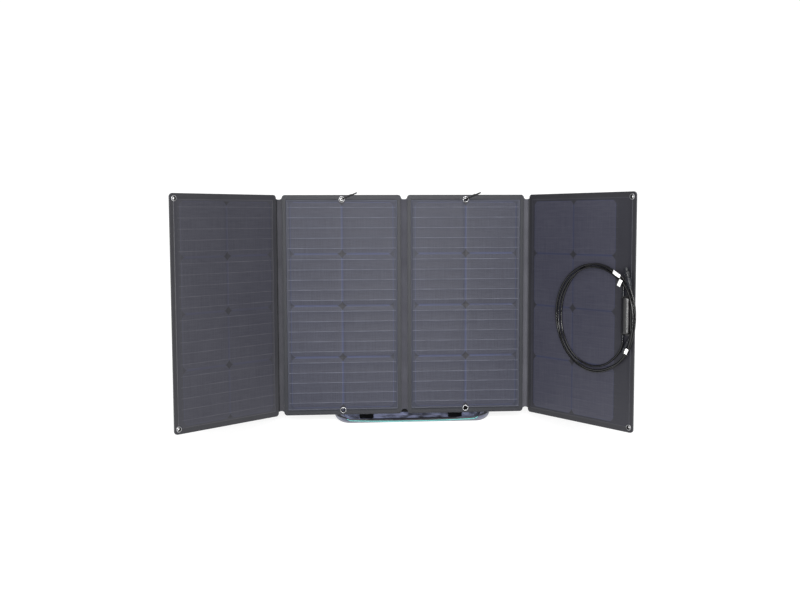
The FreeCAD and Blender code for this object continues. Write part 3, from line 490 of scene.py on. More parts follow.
LOOKS = {
    # The four panels carry one film: the three looks differ in their tones and ribbon share as
    # painted light and shade for how each panel faces the lights, and they differ in gloss too.
    "film_left": laminate(
        "film_left", (-0.0316, 0.3404), cell=(38, 38, 47), margin=(43, 43, 49),
        notch=(37, 37, 42), rim_tone=(34, 34, 38), gap=(50, 51, 68), ribbon=(106, 106, 112),
        haze=(50, 50, 58), tape_share=0.36, gloss=0.45,
    ),
    "film_middle": laminate(
        "film_middle", (-0.0236, 0.3404), cell=(30, 31, 43), margin=(37, 39, 51),
        notch=(34, 34, 40), rim_tone=(30, 31, 36), gap=(56, 62, 92), ribbon=(136, 140, 156),
        haze=(45, 46, 58), tape_share=0.42, gloss=0.28,
    ),
    "film_right": laminate(
        "film_right", (-0.0236, 0.3864), cell=(47, 47, 59), margin=(38, 38, 44),
        notch=(39, 39, 44), rim_tone=(34, 34, 38), gap=(52, 56, 80), ribbon=(84, 86, 100),
        haze=(59, 59, 69), tape_share=0.16, gloss=0.42,
    ),
    "back_fabric": fabric("back_fabric", (40, 41, 44), (58, 59, 62)),
    # The three seams are one fabric: their different tones are painted light and shade; the left
    # and right seams also carry painted shade along their crease.
    "seam_left": creased("seam_left", (46, 46, 50), (66, 66, 71), 0.0, 1.0),
    "seam_centre": creased("seam_centre", (48, 48, 54), (72, 72, 79)),
    "seam_right": creased("seam_right", (62, 62, 68), (86, 86, 92), 0.0225, 0.4),
    "case_fabric": fabric("case_fabric", (56, 58, 72), (104, 107, 128), roughness=0.5),
    "facing": facing("facing", 0.0188),
    "lining": fabric("lining", (14, 14, 16), (30, 30, 34), thread=0.0007),
    "gusset": fabric("gusset", (24, 25, 29), (42, 43, 50), roughness=0.7),
    "side_fabric": banded("side_fabric", (66, 68, 80), (116, 118, 136), (34, 34, 38)),
    "binding": facing("binding", 1.0),
    "webbing": webbing("webbing", (18, 18, 20), (40, 40, 43), mapped=False),
    "strap": webbing("strap", (18, 18, 20), (40, 40, 43)),
    "thread": fabric("thread", (58, 59, 62), (84, 85, 88), thread=0.0006, mapped=False),
    "hook_and_loop": moulded("hook_and_loop", (3, 3, 4), (14, 14, 17), 0.95, 900.0, 0.0006, 0.05),
    "zip_teeth": zip_tape("zip_teeth"),
    "zip_fringe": fabric("zip_fringe", (92, 94, 104), (128, 130, 140), thread=0.0008),
    "nickel": metal("nickel", (104, 104, 106), (184, 184, 186), 0.38),
    "dark_steel": moulded("dark_steel", (3, 3, 4), (8, 8, 9), 0.36, relief=0.00001, gloss=0.15),
    "lead": moulded("lead", (1, 1, 2), (4, 4, 5), 0.17, relief=0.000001, gloss=0.5),
    "box_plastic": moulded("box_plastic", (7, 7, 9), (11, 11, 14), 0.36, relief=0.0000005,
                           gloss=0.8),
    "connector": moulded("connector", (7, 8, 11), (30, 33, 41), 0.28, relief=0.000005, gloss=0.5),
    "silicon": silicon("silicon"),
    "tin": metal("tin", (150, 150, 152), (200, 202, 206), 0.35),
    "board": board("board", (58, 60, 60), (92, 94, 92)),
    "foam": board("foam", (70, 70, 72), (104, 104, 108), 120.0),
    "circuit": board("circuit", (16, 74, 44), (24, 98, 60), 220.0),
    "paper": paper("paper"),
}


# ---------------------------------------------------------------- mesh helpers

def placed(name, data):
    """A new object in the scene."""
    thing = bpy.data.objects.new(name, data)
    bpy.context.scene.collection.objects.link(thing)
    return thing


def make_mesh(name, points, faces, uv, look, slot, sharp=38):
    """A mesh piece from arrays, with its normals outward and a map in metres."""
    mesh = bpy.data.meshes.new(name)
    mesh.from_pydata(points.tolist(), [], faces.tolist() if hasattr(faces, "tolist") else faces)
    layer = mesh.uv_layers.new(name="metres")
    corners = np.zeros(len(mesh.loops), int)
    mesh.loops.foreach_get("vertex_index", corners)
    layer.data.foreach_set("uv", np.asarray(uv, float)[corners].ravel())
    work = bmesh.new()
    work.from_mesh(mesh)
    bmesh.ops.remove_doubles(work, verts=work.verts, dist=1e-6)
    bmesh.ops.recalc_face_normals(work, faces=work.faces)
    work.to_mesh(mesh)
    work.free()
    mesh.polygons.foreach_set("use_smooth", [True] * len(mesh.polygons))
    mesh.set_sharp_from_angle(angle=math.radians(sharp))
    mesh.materials.append(LOOKS[look])
    piece = placed(name, mesh)
    if slot:
        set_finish(piece, slot)
    return piece


def quads(index):
    """The four-sided faces between the rows and columns of a grid of vertex numbers."""
    a, b, c, d = index[:-1, :-1], index[:-1, 1:], index[1:, 1:], index[1:, :-1]
    return np.stack([a, b, c, d], -1).reshape(-1, 4)


def shell_faces(rows, columns, ring):
    """Faces of a front and a back grid joined round their edges; ring joins last row to first."""
    count = rows * columns
    index = np.arange(count).reshape(rows, columns)
    if ring:
        index = np.vstack([index, index[:1]])
    front = quads(index)
    back = front[:, ::-1] + count
    rims = [index[:, 0], index[:, -1][::-1]]
    if not ring:
        rims += [index[0][::-1], index[-1]]
    sides = [
        np.stack([rim[:-1], rim[1:], rim[1:] + count, rim[:-1] + count], -1) for rim in rims
    ]
    return np.vstack([front, back] + sides)


def closed_sheet(name, front, back, uv, look, slot, ring=False, sharp=38):
    """A closed piece between a front and a back grid of points."""
    rows, columns = front.shape[:2]
    points = np.concatenate([front.reshape(-1, 3), back.reshape(-1, 3)])
    flat = np.asarray(uv).reshape(-1, 2)
    faces = shell_faces(rows, columns, ring)
    return make_mesh(name, points, faces, np.concatenate([flat, flat]), look, slot, sharp)


def thickened(grid, thick):
    """A grid's two faces, half its thickness to each side."""
    down = np.gradient(grid, axis=0)
    across = np.gradient(grid, axis=1)
    normal = np.cross(across, down)
    normal /= np.maximum(np.linalg.norm(normal, axis=-1, keepdims=True), 1e-12)
    return grid + normal * thick / 2, grid - normal * thick / 2


def metres_map(grid):
    """A map of a grid from the distance run along its rows and columns."""
    along = np.linalg.norm(np.diff(grid, axis=0), axis=-1).mean(1)
    across = np.linalg.norm(np.diff(grid, axis=1), axis=-1).mean(0)
    v = np.concatenate([[0], np.cumsum(along)])
    u = np.concatenate([[0], np.cumsum(across)])
    return np.stack(np.broadcast_arrays(v[:, None], u[None, :]), -1)


def cloth(name, grid, thick, look, slot, ring=False):
    """Sewn fabric or webbing of one thickness over a grid of points."""
    front, back = thickened(grid, thick)
    return closed_sheet(name, front, back, metres_map(grid), look, slot, ring)


def joined(name, pieces):
    """One piece from several with the same material."""
    mesh = bpy.data.meshes.new(name)
    work = bmesh.new()
    for piece in pieces:
        work.from_mesh(piece.data)
    work.to_mesh(mesh)
    work.free()
    mesh.materials.append(pieces[0].data.materials[0])
    result = placed(name, mesh)
    if "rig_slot" in pieces[0]:
        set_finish(result, pieces[0]["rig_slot"])
    for piece in pieces:
        bpy.data.meshes.remove(piece.data)
    return result


def rounded(x, y, low, high, radii):
    """Grid coordinates with the rectangle's corners drawn in to arcs."""
    x, y = x.copy(), y.copy()
    spots = [(low[0], low[1]), (high[0], low[1]), (low[0], high[1]), (high[0], high[1])]
    for (corner_x, corner_y), radius in zip(spots, radii):
        way_x = 1 if corner_x == low[0] else -1
        way_y = 1 if corner_y == low[1] else -1
        out_x = radius - way_x * (x - corner_x)
        out_y = radius - way_y * (y - corner_y)
        near = (out_x > 0) & (out_y > 0)
        far = np.hypot(out_x, out_y)
        pull = np.where(near, np.maximum(out_x, out_y) / np.maximum(far, 1e-9), 1.0)
        x = np.where(near, corner_x + way_x * (radius - out_x * pull), x)
        y = np.where(near, corner_y + way_y * (radius - out_y * pull), y)
    return x, y


def edge_distance(x, y, low, high):
    return np.minimum.reduce([x - low[0], high[0] - x, y - low[1], high[1] - y])


def smooth(value, low, high):
    share = np.clip((value - low) / (high - low), 0, 1)
    return share * share * (3 - 2 * share)


def grid_lines(low, high, step, edge=(), extra=()):
    """Grid lines about a step apart, closer by the edges and with lines of their own."""
    count = max(2, round((high - low) / step))
    lines = list(np.linspace(low, high, count + 1))
    lines += [low + e for e in edge] + [high - e for e in edge]
    lines += [line for line in extra if low < line < high]
    lines = sorted(lines)
    kept = lines[:1]
    for line in lines[1:]:
        if line - kept[-1] > 0.00012:
            kept.append(line)
    kept[-1] = high
    return np.array(kept)


CORNER_LINES = (0.0003, 0.0008, 0.0016, 0.003, 0.0045, 0.006, 0.008, 0.010)


def slab(name, plane, low, high, radii, xs, ys, top, bottom, look, slot, origin=(0, 0)):
    """A flat piece with rounded corners; top and bottom give the levels of its two faces."""
    x, y = np.meshgrid(xs, ys)
    rim = edge_distance(x, y, low, high)
    px, py = rounded(x, y, low, high, radii)
    front = plane.points(px, py, top(x, y, rim))
    back = plane.points(px, py, bottom(x, y, rim))
    uv = np.stack([px - origin[0], py - origin[1]], -1)
    return closed_sheet(name, front, back, uv, look, slot)


def flat(level):
    """A slab's face at one level."""
    return lambda x, y, rim: np.full_like(x, level)


def creases(x, y, size, seed):
    """Soft folds in fabric, between 0 and 1: ridges that wander, cross and fade."""
    pick = np.random.default_rng(seed)
    total = np.zeros_like(x)
    for _ in range(6):
        way = pick.uniform(0, math.pi)
        run = x * math.cos(way) + y * math.sin(way)
        side = y * math.cos(way) - x * math.sin(way)
        bend = size * pick.uniform(0.3, 0.8) * np.sin(side / size * pick.uniform(0.8, 1.8))
        phase = (run + bend) / (size * pick.uniform(0.7, 1.6)) + pick.uniform(0, 6)
        ridge = (1 - np.abs(np.sin(phase))) ** 2
        total += ridge * (0.5 + 0.5 * np.sin(side / size * 0.7 + pick.uniform(0, 6)))
    return np.clip(total / 2.2, 0, 1)


def lathe(name, foot, axis, profile, look, slot, sides=36):
    """A turned piece: profile is distance along the axis and radius, closed at both ends."""
    axis = Vector(axis).normalized()
    first = axis.orthogonal().normalized()
    second = axis.cross(first)
    turns = np.linspace(0, 2 * math.pi, sides, endpoint=False)
    rings = np.cos(turns)[:, None] * np.array(first) + np.sin(turns)[:, None] * np.array(second)
    along = np.array([step for step, _ in profile])
    radius = np.array([wide for _, wide in profile])
    points = (
        np.array(foot) + along[:, None, None] * np.array(axis)
        + radius[:, None, None] * rings[None, :, :]
    )
    rows = len(profile)
    index = np.arange(rows * sides).reshape(rows, sides)
    index = np.hstack([index, index[:, :1]])
    faces = quads(index).tolist()
    if radius[0] > 0 and (along[0], radius[0]) != (along[-1], radius[-1]):
        faces += [index[0, :-1].tolist(), index[-1, :-1].tolist()]
    uv = np.stack(np.broadcast_arrays(turns[None, :] * radius.max(), along[:, None]), -1)
    uv = uv.reshape(-1, 2)
    return make_mesh(name, points.reshape(-1, 3), faces, uv, look, slot)


def stitched(name, lines, slot, look="thread", stitch=0.0034, gap=0.0016, thick=0.00028):
    """Rows of sewn stitches, each one a short thread that dips in at its ends."""
    points, faces = [], []
    for line, out in lines:
        line, out = np.asarray(line), np.asarray(out)
        run = np.concatenate([[0], np.cumsum(np.linalg.norm(np.diff(line, axis=0), axis=1))])
        starts = np.arange(gap, run[-1] - stitch, stitch + gap)
        for start in starts:
            at = [start, start + stitch * 0.25, start + stitch * 0.75, start + stitch]
            body = np.stack([np.interp(at, run, line[:, k]) for k in range(3)], 1)
            up = np.stack([np.interp(at, run, out[:, k]) for k in range(3)], 1)
            side = np.cross(body[-1] - body[0], up[0])
            side *= thick / max(np.linalg.norm(side), 1e-12)
            lift = up * (np.array([-0.4, 1.0, 1.0, -0.4]) * thick)[:, None]
            base = len(points)
            for spot, raised, normal in zip(body, lift, up):
                points.extend([
                    spot + raised - side, spot + raised + normal * thick,
                    spot + raised + side, spot + raised - normal * thick,
                ])
            for ring in range(3):
                for k in range(4):
                    a = base + ring * 4
                    faces.append([a + k, a + (k + 1) % 4, a + 4 + (k + 1) % 4, a + 4 + k])
            faces += [[base + k for k in range(4)], [base + 12 + k for k in (3, 2, 1, 0)]]
    points = np.array(points)
    return make_mesh(name, points, faces, points[:, :2], look, slot, sharp=60)


def pierced(piece, holes):
    """The piece with round holes through it: each is a middle, an axis and a radius."""
    work = bmesh.new()
    for middle, axis, radius in holes:
        turn = Vector((0, 0, 1)).rotation_difference(Vector(axis)).to_matrix().to_4x4()
        bmesh.ops.create_cone(
            work, cap_ends=True, segments=32, radius1=radius, radius2=radius, depth=0.03,
            matrix=Matrix.Translation(middle) @ turn,
        )
    mesh = bpy.data.meshes.new("punch")
    work.to_mesh(mesh)
    work.free()
    punch = placed("punch", mesh)
    cut = piece.modifiers.new("holes", "BOOLEAN")
    cut.object = punch
    cut.solver = "EXACT"
    shown = piece.evaluated_get(bpy.context.evaluated_depsgraph_get())
    piece.data = bpy.data.meshes.new_from_object(shown)
    piece.modifiers.clear()
    bpy.data.objects.remove(punch)
    return piece


def finish_piece(piece, body, *replaced):
    """The piece rides on its body and stands for the CAD nodes named."""
    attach(piece, body)
    if replaced:
        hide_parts(*replaced)
    return piece


# ---------------------------------------------------------------- panels

FILM_TOP = -0.0002
FILM_LOW = -0.00042
FRAME_LOW = -0.0010
FILM_BACK = -0.0013
COVER_BACK = -0.0057
COVER_OUT = 0.0007
COVER_THICK = 0.0005
STITCH_INSET = 0.0078
EYELET_SLACK = 0.0008
CORNER_EYELET = 0.014
MIDDLE_EYELET = 0.013


def eyelet_pair(node, hole, rim, x, inset):
    """A panel's two eyelets: CAD node, radii of hole and rim, and their places."""
    return node, hole, rim, [(x, inset), (x, PANEL_HEIGHT - inset)]


EYELET_SPOTS = {
    "left": eyelet_pair("eyelets_left", 0.004, 0.0085, LEFT_END + CORNER_EYELET, CORNER_EYELET),
    "right": eyelet_pair("eyelets_right", 0.004, 0.0085, RIGHT_END - CORNER_EYELET, CORNER_EYELET),
    "second": eyelet_pair("eyelets_middle", 0.005, 0.0095, -PITCH / 2, MIDDLE_EYELET),
    "third": eyelet_pair("eyelets_middle", 0.005, 0.0095, PITCH / 2, MIDDLE_EYELET),
}


def eyelet_holes(panel):
    """The holes in a panel's layers, a little wider than the eyelets' own."""
    plane = PANELS[panel][0]
    _, hole, _, spots = EYELET_SPOTS[panel]
    wide = hole + EYELET_SLACK
    return [(plane.point(x, y, EYELET_LEVEL), plane.out, wide) for x, y in spots]


def make_film(panel, name, look):
    """The front of a panel: film drawn over cells and ribbons, with a welded rim line."""
    plane, _, low_x, high_x, first = PANELS[panel]
    low, high = (low_x, 0.0), (high_x, PANEL_HEIGHT)
    weld_lines = tuple(RIM_LINE + e for e in (-0.0012, -0.0006, 0.0, 0.0004, 0.0010, 0.0016))
    across_lines = CORNER_LINES + weld_lines
    along_lines = CORNER_LINES + tuple(line + RIM_EXTRA for line in weld_lines)
    by_cell = (-0.0008, 0.0006, CELL - 0.0006, CELL + 0.0008)
    by_ribbon = (-0.0011, -0.0005, 0.0005, 0.0011)
    feet = [FIRST_ROW + row * CELL_STEP for row in range(4)]
    ribbons = [foot + CELL * (k + 0.5) / RIBBONS for foot in feet for k in range(RIBBONS)]
    marks_x = [first + column * CELL_STEP + spot for column in range(2) for spot in by_cell]
    marks_y = [foot + spot for foot in feet for spot in by_cell]
    marks_y += [line + spot for line in ribbons for spot in by_ribbon]
    xs = grid_lines(low[0], high[0], 0.014, across_lines, marks_x)
    ys = grid_lines(low[1], high[1], 0.016, along_lines, marks_y)

    def top(x, y, rim):
        from_side = np.abs((x - first) % CELL_STEP - CELL / 2)
        from_end = np.abs((y - FIRST_ROW) % CELL_STEP - CELL / 2)
        across = (x > first - 0.001) & (x < first + CELL_STEP + CELL + 0.001)
        along = (y > FIRST_ROW - 0.001) & (y < FIRST_ROW + 3 * CELL_STEP + CELL + 0.001)
        over = 1 - smooth(np.maximum(from_side, from_end), CELL / 2 - 0.0004, CELL / 2 + 0.0008)
        level = FILM_LOW + (FILM_TOP - FILM_LOW - 0.00006) * over * across * along
        near = np.min([np.abs(y - line) for line in ribbons], axis=0)
        level += 0.00006 * (1 - smooth(near, 0.0004, 0.0011)) * across
        side = np.minimum(x - low_x, high_x - x)
        weld = np.minimum(side, np.minimum(y, PANEL_HEIGHT - y) - RIM_EXTRA)
        framed = 1 - smooth(weld, RIM_LINE - 0.0012, RIM_LINE)
        level = level * (1 - framed) + FRAME_LOW * framed
        level += 0.0002 * (1 - smooth(np.abs(weld - RIM_LINE - 0.0004), 0.0003, 0.0012))
        return level - 0.0002 * (1 - smooth(rim, 0.0, 0.0016))

    film = slab(
        name, plane, low, high, CORNERS[panel], xs, ys, top, flat(FILM_BACK), look, "front_film",
        origin=(first, FIRST_ROW),
    )
    return pierced(film, eyelet_holes(panel))


def make_cover(panel, name):
    """The woven back of a panel: it turns up round the board's edge to meet the film."""
    plane, _, low_x, high_x, _ = PANELS[panel]
    low = (low_x - COVER_OUT, -COVER_OUT)
    high = (high_x + COVER_OUT, PANEL_HEIGHT + COVER_OUT)
    inner = (0.0006, 0.0016, 0.003, 0.0045, 0.006, 0.008, 0.0095, 0.011)
    xs = grid_lines(low[0], high[0], 0.009, inner)
    ys = grid_lines(low[1], high[1], 0.009, inner)
    xs = np.concatenate([xs[:1], xs, xs[-1:]])
    ys = np.concatenate([ys[:1], ys, ys[-1:]])
    x, y = np.meshgrid(xs, ys)
    rows, columns = x.shape
    i, j = np.meshgrid(np.arange(columns), np.arange(rows))
    ring = np.minimum.reduce([i, columns - 1 - i, j, rows - 1 - j])
    rim = edge_distance(x, y, low, high)
    seed = list(PANELS).index(panel)
    puff = 0.0009 * creases(x, y, 0.035, 40 + seed) * smooth(rim, 0.010, 0.03)
    groove = 0.0005 * (1 - smooth(np.abs(rim - 0.0085), 0.0003, 0.0015))
    level = COVER_BACK - puff + groove + 0.0011 * (1 - smooth(rim, 0.0, 0.0022))
    level = np.where(ring == 0, FRAME_LOW + 0.0001, level)
    px, py = rounded(x, y, low, high, [radius + COVER_OUT for radius in CORNERS[panel]])
    outside = plane.points(px, py, level)
    inset = np.where(ring <= 1, COVER_THICK, 0.0)
    middle = ((low[0] + high[0]) / 2, (low[1] + high[1]) / 2)
    ix = px - np.sign(px - middle[0]) * inset * (np.minimum(i, columns - 1 - i) <= 1)
    iy = py - np.sign(py - middle[1]) * inset * (np.minimum(j, rows - 1 - j) <= 1)
    floor = np.maximum(level + COVER_THICK, COVER_BACK + 0.0004)
    inside = plane.points(ix, iy, np.where(ring == 0, level, floor))
    uv = np.stack([px, py], -1)
    cover = closed_sheet(name, inside, outside, uv, "back_fabric", "back_fabric")
    return pierced(cover, eyelet_holes(panel))


def rim_stitches(panel, name):
    """The sewn line round the back of a panel."""
    plane, _, low_x, high_x, _ = PANELS[panel]
    inset = STITCH_INSET
    low, high = (low_x + inset, inset), (high_x - inset, PANEL_HEIGHT - inset)
    line, _ = rounded_loop(low, high, (0.004,) * 4)
    path = plane.points(line[:, 0], line[:, 1], np.full(len(line), COVER_BACK + 0.0003))
    return stitched(name, [(path, np.broadcast_to(-plane.out, path.shape))], "back_fabric")


def rounded_loop(low, high, radii, steps=6):
    """A rounded rectangle's outline and its outward directions, counterclockwise."""
    spots = [
        (high[0], low[1], -90, radii[1]), (high[0], high[1], 0, radii[3]),
        (low[0], high[1], 90, radii[2]), (low[0], low[1], 180, radii[0]),
    ]
    points, outs = [], []
    for x, y, start, radius in spots:
        middle = (
            x - math.copysign(radius, x - (low[0] + high[0]) / 2),
            y - math.copysign(radius, y - (low[1] + high[1]) / 2),
        )
        for turn in np.radians(np.linspace(start, start + 90, steps)):
            out = (math.cos(turn), math.sin(turn))
            points.append((middle[0] + radius * out[0], middle[1] + radius * out[1]))
            outs.append(out)
    points.append(points[0])
    outs.append(outs[0])
    return np.array(points), np.array(outs)


def eyelet_profile(hole, rim):
    """The rolled metal of an eyelet: washer, rolled lip and barrel, from back to front."""
    barrel = hole + 0.0005
    front, back = FRAME_LOW - EYELET_LEVEL + 0.0003, COVER_BACK - EYELET_LEVEL - 0.0001
    face = [
        (0.0, rim), (0.0005, rim - 0.0001), (0.0010, rim - 0.0006), (0.0013, rim - 0.0014),
        (0.0012, rim - 0.0021), (0.0007, rim - 0.0030), (0.0, barrel + 0.0002),
    ]
    forward = [(front + lift, wide) for lift, wide in face]
    backward = [(back - lift, wide) for lift, wide in face]
    return (
        backward[::-1] + [(back, rim - 0.0015), (back + 0.0004, barrel + 0.0002)]
        + [(front - 0.0004, barrel + 0.0002), (front, rim - 0.0015)] + forward
        + [(front, hole), (back, hole)] + backward[-1:]
    )


def shade_sleeve_profile(hole, rim):
    """A dark sleeve that lines an eyelet inside its bright ring: painted shade in the hole."""
    front, back = FRAME_LOW - EYELET_LEVEL + 0.0003, COVER_BACK - EYELET_LEVEL - 0.0001
    crest = (front + 0.00135, rim - 0.0023)
    return [
        crest, (front + 0.0011, rim - 0.0032), (front + 0.0006, hole + 0.0006),
        (front, hole - 0.0001), (back, hole - 0.0001), (back, hole + 0.0003),
        (front, hole + 0.0003), (front + 0.0004, rim - 0.0034), crest,
    ]


def make_eyelets():
    made = {}
    for panel, (node, hole, rim, spots) in EYELET_SPOTS.items():
        plane, body, *_ = PANELS[panel]
        metal_parts, sleeves = made.setdefault((node, body), ([], []))
        for spot, (x, y) in enumerate(spots):
            place = plane.point(x, y, EYELET_LEVEL), plane.out
            label = f"{node}_{panel}_{spot}"
            metal_parts.append(lathe(label, *place, eyelet_profile(hole, rim), "nickel", "eyelet"))
            # each eyelet gets a dark sleeve as painted shade in its hole
            sleeves.append(lathe(
                f"{label}_funnel", *place, shade_sleeve_profile(hole, rim), "dark_steel", "eyelet"
            ))
    for (node, body), (metal_parts, sleeves) in made.items():
        finish_piece(joined(f"{node}_rolled", metal_parts), body, node)
        finish_piece(joined(f"{node}_funnels", sleeves), body)


def make_panels():
    films = {"left": "film_left", "second": "film_middle", "third": "film_middle",
             "right": "film_right"}
    for panel, look in films.items():
        body = PANELS[panel][1]
        group = "middle" if body == "kit" else panel
        film = make_film(panel, f"{panel}_film", look)
        finish_piece(film, body, f"{group}_front_film", f"{group}_border")
        cover = make_cover(panel, f"{panel}_cover")
        finish_piece(cover, body, f"{group}_back_cover")
        finish_piece(rim_stitches(panel, f"{panel}_rim_stitches"), body)
    make_eyelets()


# ---------------------------------------------------------------- seams between the panels

SEAM_FOOT = 0.013
SEAM_TOP = 0.667
SEAM_EDGE = -0.0016
SEAM_WING_EDGE = -0.0050
SEAM_DIP = -0.0042
SEAM_THICK = 0.0013
SEAM_FILLET = 0.0055
SEAM_LAP = 0.0004
BLEND_REACH = 0.008
BLEND_HEIGHT = 0.34


def make_seam(name, left, left_x, right, right_x, fold_x):
    """A strip of fabric between two panels: a shallow valley, deepest beside a folded wing."""
    share = np.linspace(0, 1, 13)
    rise = grid_lines(SEAM_FOOT, SEAM_TOP, 0.010)[:, None]
    fillet = SEAM_FILLET * np.abs(2 * share - 1) ** 3
    rise = rise + fillet * ((rise > 0.66) * 1.0 - (rise < 0.02) * 1.0)
    start = left.points(left_x, rise, SEAM_EDGE if left is FACE else SEAM_WING_EDGE)
    end = right.points(right_x, rise, SEAM_EDGE if right is FACE else SEAM_WING_EDGE)
    bend = FACE.points(fold_x, rise, SEAM_DIP * 1.6)
    t = share[None, :, None]
    grid = start * (1 - t) ** 2 + bend * 2 * t * (1 - t) + end * t ** 2
    ripple = 0.00025 * np.sin(rise * 260 + 1.5 * np.sin(rise * 37))
    ripple = ripple * np.sin(math.pi * share)[None, :] ** 2
    grid += ripple[..., None] * FACE.out
    return cloth(f"{name}_strip", grid, SEAM_THICK, name, "seam_fabric")


def make_seams():
    edge = PITCH_EDGE + SEAM_LAP
    centre = make_seam("seam_centre", FACE, -edge, FACE, edge, 0.0)
    finish_piece(centre, "kit", "seam_centre")
    for side, wing, sign in (("left", LEFT_WING, -1), ("right", RIGHT_WING, 1)):
        on_face, on_wing = (FACE, sign * (PITCH - edge)), (wing, sign * edge)
        ends = on_face + on_wing if sign > 0 else on_wing + on_face
        strip = make_seam(f"seam_{side}", *ends, sign * PITCH)
        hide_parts(f"seam_{side}")
        still = FACE.point(sign * (PITCH - BLEND_REACH), BLEND_HEIGHT)
        moving = wing.point(sign * BLEND_REACH, BLEND_HEIGHT)
        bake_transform(strip)


# ---------------------------------------------------------------- carry case

LEAF_CORNERS = (0.020, 0.020, 0.012, 0.012)
GUSSET_WIDTH = 0.020
ZIP_WIDTH = 0.008
GUSSET_STOP = 0.040
SPINE_LAP = 0.012
SPINE_FRONT_LAP = 0.010
LEAN = math.atan2(FACE.up[1], FACE.up[2])


def leaf_faces(side, plane):
    """The wrinkled outer fabric and the lining of one half of the case."""
    low, high = (-LEAF_SIZE[0] / 2, 0.0), (LEAF_SIZE[0] / 2, LEAF_SIZE[1])
    lines = CORNER_LINES + (0.013, 0.016, 0.020)
    xs = grid_lines(low[0], high[0], 0.007, lines)
    ys = grid_lines(low[1], high[1], 0.007, lines, [0.0225, 0.0255, 0.0285, 0.0315, 0.0345])
    seed = 3 if side == "front" else 11

    def outside(x, y, rim):
        puff = creases(x, y, 0.022, seed) * (0.0012 + 0.0014 * (1 - smooth(y, 0.03, 0.09)))
        return LEAF_THICK - 0.0002 + puff * smooth(rim, 0.0, 0.012)

    def inside(x, y, rim):
        return 0.0002 - 0.0012 * creases(x, y, 0.022, seed + 1) * smooth(rim, 0.002, 0.012)

    shell = slab(
        f"case_{side}_outer", plane, low, high, LEAF_CORNERS, xs, ys, outside,
        flat(LEAF_THICK - 0.001),
        "facing" if side == "front" else "case_fabric", "case_fabric",
    )
    lining = slab(
        f"case_{side}_inner", plane, low, high, LEAF_CORNERS, xs, ys,
        flat(0.001), inside, "lining", "lining",
    )
    return shell, lining


def leaf_binding(side, plane):
    """Tape folded round the leaf's edge, and the row of stitches that holds it."""
    half = LEAF_SIZE[0] / 2
    line, outs = rounded_loop((-half, 0.0), (half, LEAF_SIZE[1]), LEAF_CORNERS, 8)
    dense, dense_out = [line[:1]], [outs[:1]]
    for k in range(len(line) - 1):
        count = max(1, round(np.linalg.norm(line[k + 1] - line[k]) / 0.02))
        steps = np.linspace(0, 1, count + 1)[1:, None]
        dense.append(line[k] + (line[k + 1] - line[k]) * steps)
        dense_out.append(outs[k] + (outs[k + 1] - outs[k]) * steps)
    line, outs = np.vstack(dense)[:-1], np.vstack(dense_out)[:-1]
    mid = LEAF_THICK / 2
    profile = [
        (-0.0085, mid + 0.0034), (-0.0055, mid + 0.0039), (-0.001, mid + 0.0036),
        (0.0003, mid + 0.0024), (0.0007, mid), (0.0003, mid - 0.0024),
        (-0.001, mid - 0.0036), (-0.0055, mid - 0.0039), (-0.0085, mid - 0.0034),
    ]
    wave = 1 + 0.06 * np.sin(np.arange(len(line)) * 1.7)
    grid = np.stack([
        plane.points(line[:, 0] + outs[:, 0] * out * wave, line[:, 1] + outs[:, 1] * out * wave,
                     np.full(len(line), level))
        for out, level in profile
    ], 1)
    tape = cloth(f"case_{side}_edge_tape", grid, 0.0009, "binding", "binding", ring=True)
    rows = []
    for level, sign in ((mid + 0.0043, 1), (mid - 0.0043, -1)):
        inner, _ = rounded_loop((-half + 0.006, 0.006), (half - 0.006, LEAF_SIZE[1] - 0.006),
                                [radius - 0.005 for radius in LEAF_CORNERS], 8)
        path = plane.points(inner[:, 0], inner[:, 1], np.full(len(inner), level))
        rows.append((path, np.broadcast_to(sign * plane.out, path.shape)))
    return tape, stitched(f"case_{side}_stitches", rows, "binding")


def leaf_edge(along):
    """A point of the leaf's open edge and how far it has turned from the side to the bottom."""
    width, height = LEAF_SIZE
    corner = LEAF_CORNERS[0]
    side_top = height - GUSSET_STOP
    if along <= 1:
        return np.array([0.0, side_top + (corner - side_top) * along]), 0.0
    if along < 2:
        turn = math.pi / 2 * (along - 1)
        return corner * np.array([1 - math.cos(turn), 1 - math.sin(turn)]), along - 1
    if along <= 3:
        return np.array([corner + (width - 2 * corner) * (along - 2), 0.0]), 1.0
    mirror, turned = leaf_edge(5 - along)
    return np.array([width - mirror[0], mirror[1]]), turned


STATIONS = np.concatenate([
    np.linspace(0, 1, 60), np.linspace(1, 2, 14)[1:], np.linspace(2, 3, 90)[1:],
    np.linspace(3, 4, 14)[1:], np.linspace(4, 5, 60)[1:],
])


def corner_draw(along):
    """How far the closure draws in where the fabric bunches at the two lower corners."""
    return 0.018 * math.exp(-(((2.5 - abs(along - 2.5)) - 1.7) / 0.38) ** 2)


